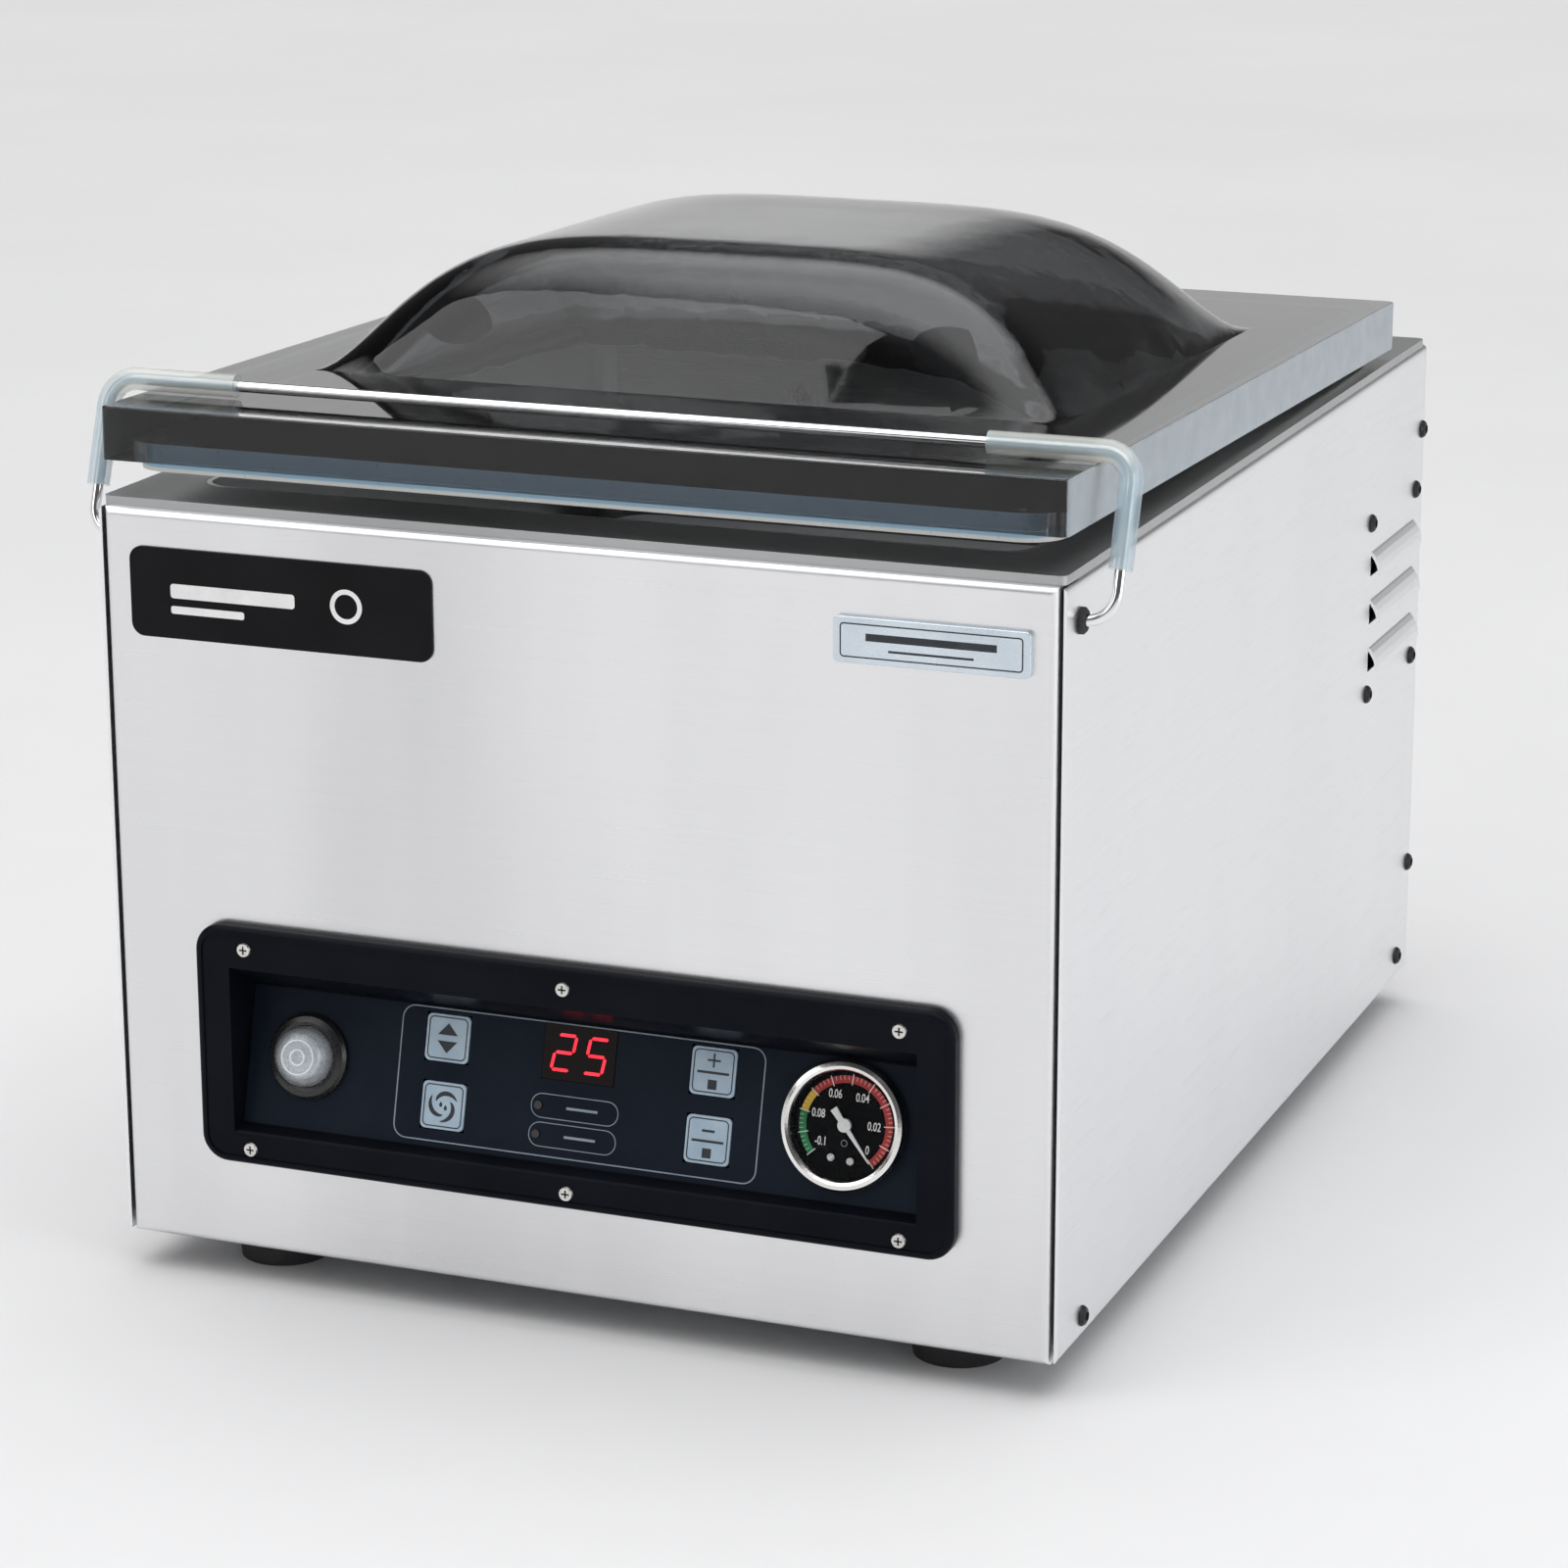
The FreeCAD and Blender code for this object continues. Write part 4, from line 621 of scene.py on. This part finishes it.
def rounded_box(x0, x1, y0, y1, radius, steps=6):
    """The outline of a rectangle with round corners."""
    corners = [(x1, y1, 0), (x0, y1, 90), (x0, y0, 180), (x1, y0, 270)]
    points = []
    for x, y, start in corners:
        cx = x - radius if x == x1 else x + radius
        cy = y - radius if y == y1 else y + radius
        for step in range(steps + 1):
            angle = math.radians(start + 90 * step / steps)
            points.append((cx + radius * math.cos(angle), cy + radius * math.sin(angle)))
    return points


def circle(x, y, radius, steps=48):
    return sector(x, y, radius, 0, 360 * (1 - 1 / steps), steps - 1)


def sector(x, y, radius, start, end, steps):
    """Points along an arc, in degrees."""
    angles = [math.radians(start + (end - start) * step / steps) for step in range(steps + 1)]
    return [(x + radius * math.cos(angle), y + radius * math.sin(angle)) for angle in angles]


def band(inner, outer, start, end, steps=40):
    """The outline of a curved strip round the middle."""
    return sector(0, 0, outer, start, end, steps) + sector(0, 0, inner, end, start, steps)


def bar(x, y, wide, tall):
    """The outline of a rectangle round a point."""
    left, right = x - wide / 2, x + wide / 2
    low, high = y - tall / 2, y + tall / 2
    return [(left, low), (right, low), (right, high), (left, high)]


def frame_line(x0, x1, y0, y1, radius, line):
    """The two outlines of a line drawn round a rounded box."""
    outer = rounded_box(x0, x1, y0, y1, radius)
    inner = rounded_box(x0 + line, x1 - line, y0 + line, y1 - line, radius - line)
    return [outer, inner]


def keypad_print():
    """The line round the keys, one round each lamp, and a plain bar beside each lamp."""
    top = FILM_FACE
    lines = frame_line(-71, 69, 2.5, 50.4, 5, 0.45)
    for up in LAMP_ROWS:
        lines += frame_line(-18.2, 15.5, up - 4.4, up + 4.4, 4.2, 0.3)
    printed("keypad_lines", lines, top, top + PRINT, KEYPAD, "cabinet", print_pale)
    bars = [bar(1.5, up, 12, 0.9) for up in LAMP_ROWS]
    printed("keypad_words", bars, top, top + PRINT, KEYPAD, "cabinet", print_pale)


def key_print():
    """Each key's border and its generic mark, which move with it."""
    top = KEY_FACE
    edge = KEY_SIDE / 2 - 0.9
    under = [bar(0, -0.4, 12, 0.9), bar(0, -4.6, 3.4, 3.4)]
    marks = {
        "up_down": [[(-3.9, 1.1), (3.9, 1.1), (0, 5.4)], [(3.9, -1.1), (-3.9, -1.1), (0, -5.4)]],
        "mode": swirl(),
        "plus": [plus_outline(0, 3.9, 5.0, 0.7), *under],
        "minus": [bar(0, 3.2, 4.8, 0.9), *under],
    }
    for key, loops in marks.items():
        where = KEYPAD @ Matrix.Translation(KEYS_AT[key])
        body = key + "_key"
        line = frame_line(-edge, edge, -edge, edge, 1.9, 0.45)
        printed(f"{key}_border", line, top, top + PRINT, where, body, print_key)
        printed(f"{key}_mark", loops, top, top + PRINT, where, body, print_key)


def plus_outline(x, y, size, line):
    """The outline of a plus sign round a point."""
    a, b = size / 2, line / 2
    shape = [
        (-a, -b), (-b, -b), (-b, -a), (b, -a), (b, -b), (a, -b),
        (a, b), (b, b), (b, a), (-b, a), (-b, b), (-a, b),
    ]
    return [(x + px, y + py) for px, py in shape]


def swirl():
    """Three curved blades round two small drops."""
    blades = []
    steps = 16
    for turn in (20, 140, 260):
        outer, inner = [], []
        for step in range(steps + 1):
            share = step / steps
            angle = math.radians(turn + 135 * share)
            middle = 5.7 - 2.5 * share
            half = 0.85 * math.sin(math.pi * share) ** 0.7
            outer.append(((middle + half) * math.cos(angle), (middle + half) * math.sin(angle)))
            inner.append(((middle - half) * math.cos(angle), (middle - half) * math.sin(angle)))
        blades.append(outer + inner[-2:0:-1])
    drops = []
    for x, y in ((-0.9, 0.5), (1.0, -0.6)):
        drop = []
        for count in range(12):
            angle = math.radians(30 * count)
            taper = 1 - 0.35 * math.sin(angle)
            drop.append((x + 0.6 * math.cos(angle) * taper, y + 0.95 * math.sin(angle)))
        drops.append(drop)
    return blades + drops


def digits():
    """Two red seven-segment figures that lean to the right."""
    tall, wide, line, lean = 12.4, 7.0, 1.15, 0.16
    half = tall / 2
    spots = {
        "a": (0, half, True), "g": (0, 0, True), "d": (0, -half, True),
        "b": (wide / 2, half / 2, False), "c": (wide / 2, -half / 2, False),
        "f": (-wide / 2, half / 2, False), "e": (-wide / 2, -half / 2, False),
    }
    up = 40
    for number, (middle, lit) in enumerate([(-7.2, "abged"), (5.2, "afgcd")]):
        loops = []
        for name in lit:
            x, y, level = spots[name]
            long = (wide if level else half) / 2 - 0.25
            b = line / 2
            shape = [(-long, 0), (-long + b, b), (long - b, b), (long, 0), (long - b, -b), (-long + b, -b)]
            if not level:
                shape = [(-py, px) for px, py in shape]
            loops.append([(middle + x + px + (y + py) * lean, up + y + py) for px, py in shape])
        top = WINDOW_FACE
        printed(f"digit_{number}", loops, top, top + PRINT, KEYPAD, "cabinet", segment)


def gauge_print():
    """The dial's coloured bands, ticks, numbers and a small ring."""
    top = DIAL_FACE
    zero, sweep = -50, 272
    step = sweep / 10
    parts = [("red", 0, 7, print_red), ("yellow", 7, 8, print_yellow), ("green", 8, 10, print_green)]
    for colour, first, last, material in parts:
        arc = band(14.6, 17.2, zero + step * first, zero + step * last)
        printed(f"dial_{colour}", [arc], top, top + 0.02, GAUGE, "cabinet", material)
    ticks = []
    for number in range(51):
        angle = math.radians(zero + sweep * number / 50)
        inner, outer, half = (14.0, 17.8, 0.16) if number % 5 == 0 else (15.7, 17.2, 0.07)
        along = Vector((math.cos(angle), math.sin(angle)))
        side = Vector((-along.y, along.x)) * half
        near, far = along * inner, along * outer
        ticks.append([tuple(near - side), tuple(far - side), tuple(far + side), tuple(near + side)])
    printed("dial_ticks", ticks, top + 0.02, top + 0.04, GAUGE, "cabinet", print_white)
    figures = [
        ("0", -42, 11.6), ("0.02", 3, 10.4), ("0.04", 62, 11.2),
        ("0.06", 115, 11.4), ("0.08", 164, 10.8), ("-0.1", 217, 10.8),
    ]
    for number, (text, turn, out) in enumerate(figures):
        angle = math.radians(turn)
        at = (out * math.cos(angle), out * math.sin(angle))
        numeral(f"dial_number_{number}", text, at, 3.0, GAUGE, top)
    rings = [circle(0, -6.3, 1.2, 24), circle(0, -6.3, 0.95, 24)]
    printed("dial_mark", rings, top, top + 0.03, GAUGE, "cabinet", print_pale)


def boot_rings():
    """Two fine pale rings on the power button's clear boot."""
    rings = [("outer", 6.4, 6.0, 10.1, 10.45), ("inner", 3.0, 2.5, 10.5, 10.72)]
    for name, outer, inner, low, high in rings:
        loops = [circle(0, 0, outer), circle(0, 0, inner)]
        printed(f"boot_ring_{name}", loops, low, high, SWITCH, "power_button", print_white)


def dial_screws():
    """Two small slotted screws low on the dial."""
    rim = circle(0, 0, 1.3, 30)
    halves = [[p for p in rim if p[1] > 0.2], [p for p in rim if p[1] < -0.2]]
    low = DIAL_FACE
    for side, (x, y) in enumerate(((-4.3, -11.6), (2.9, -12.2))):
        spot = GAUGE @ Matrix.Translation((x, y, 0)) @ Matrix.Rotation(math.radians(35 + 50 * side), 4, "Z")
        printed(f"dial_screw_{side}", halves, low, 0.45, spot, "cabinet", nickel)
        printed(f"dial_screw_floor_{side}", [rim], low, 0.1, spot, "cabinet", ring_steel)


def on_front(x, z):
    """A frame on the front panel's face: X right, Y up, Z out."""
    return CABINET @ Matrix.Translation((x, 0, z)) @ Matrix.Rotation(math.radians(90), 4, "X")


def badge_print():
    """Plain bands and borders on the two plates, where a maker would put a name."""
    left = on_front(*BADGE_AT)
    marks = [rounded_box(-43, 6, -1.6, 3.6, 1.2), rounded_box(-43, -14, -7.2, -4.4, 0.9)]
    marks += [circle(26, 1, 6.2, 40), circle(26, 1, 4.4, 40)]
    top = BADGE_FACE
    printed("left_badge_mark", marks, top, top + PRINT, left, "cabinet", print_white)
    right = on_front(*NAMEPLATE_AT)
    line = frame_line(-32.2, 32.2, -5.9, 5.9, 1.4, 0.5)
    bars = [bar(0, 1.4, 46, 2.6), bar(0, -2.9, 30, 0.8)]
    top = NAMEPLATE_FACE
    printed("nameplate_mark", line + bars, top, top + PRINT, right, "cabinet", print_key)


def painted_slot_shades():
    """Painted shade: dark crosses at the floors of the crossed slots in the bezel's screws, where the slots
    lie in shadow.
    """
    low = SLOT_FLOOR
    cross = [plus_outline(0, 0, 2.96, 0.56)]
    spots = [(x, z) for x in SCREWS_ACROSS for z in SCREWS_UP]
    for number, spot in enumerate(spots):
        where = on_front(*spot)
        # Each dark cross is painted shade at a slot's floor
        printed(f"painted_slot_shade_{number}", cross, low, low + 0.05, where, "cabinet", dial_black)


keypad_print()
key_print()
digits()
gauge_print()
boot_rings()
dial_screws()
badge_print()
painted_slot_shades()
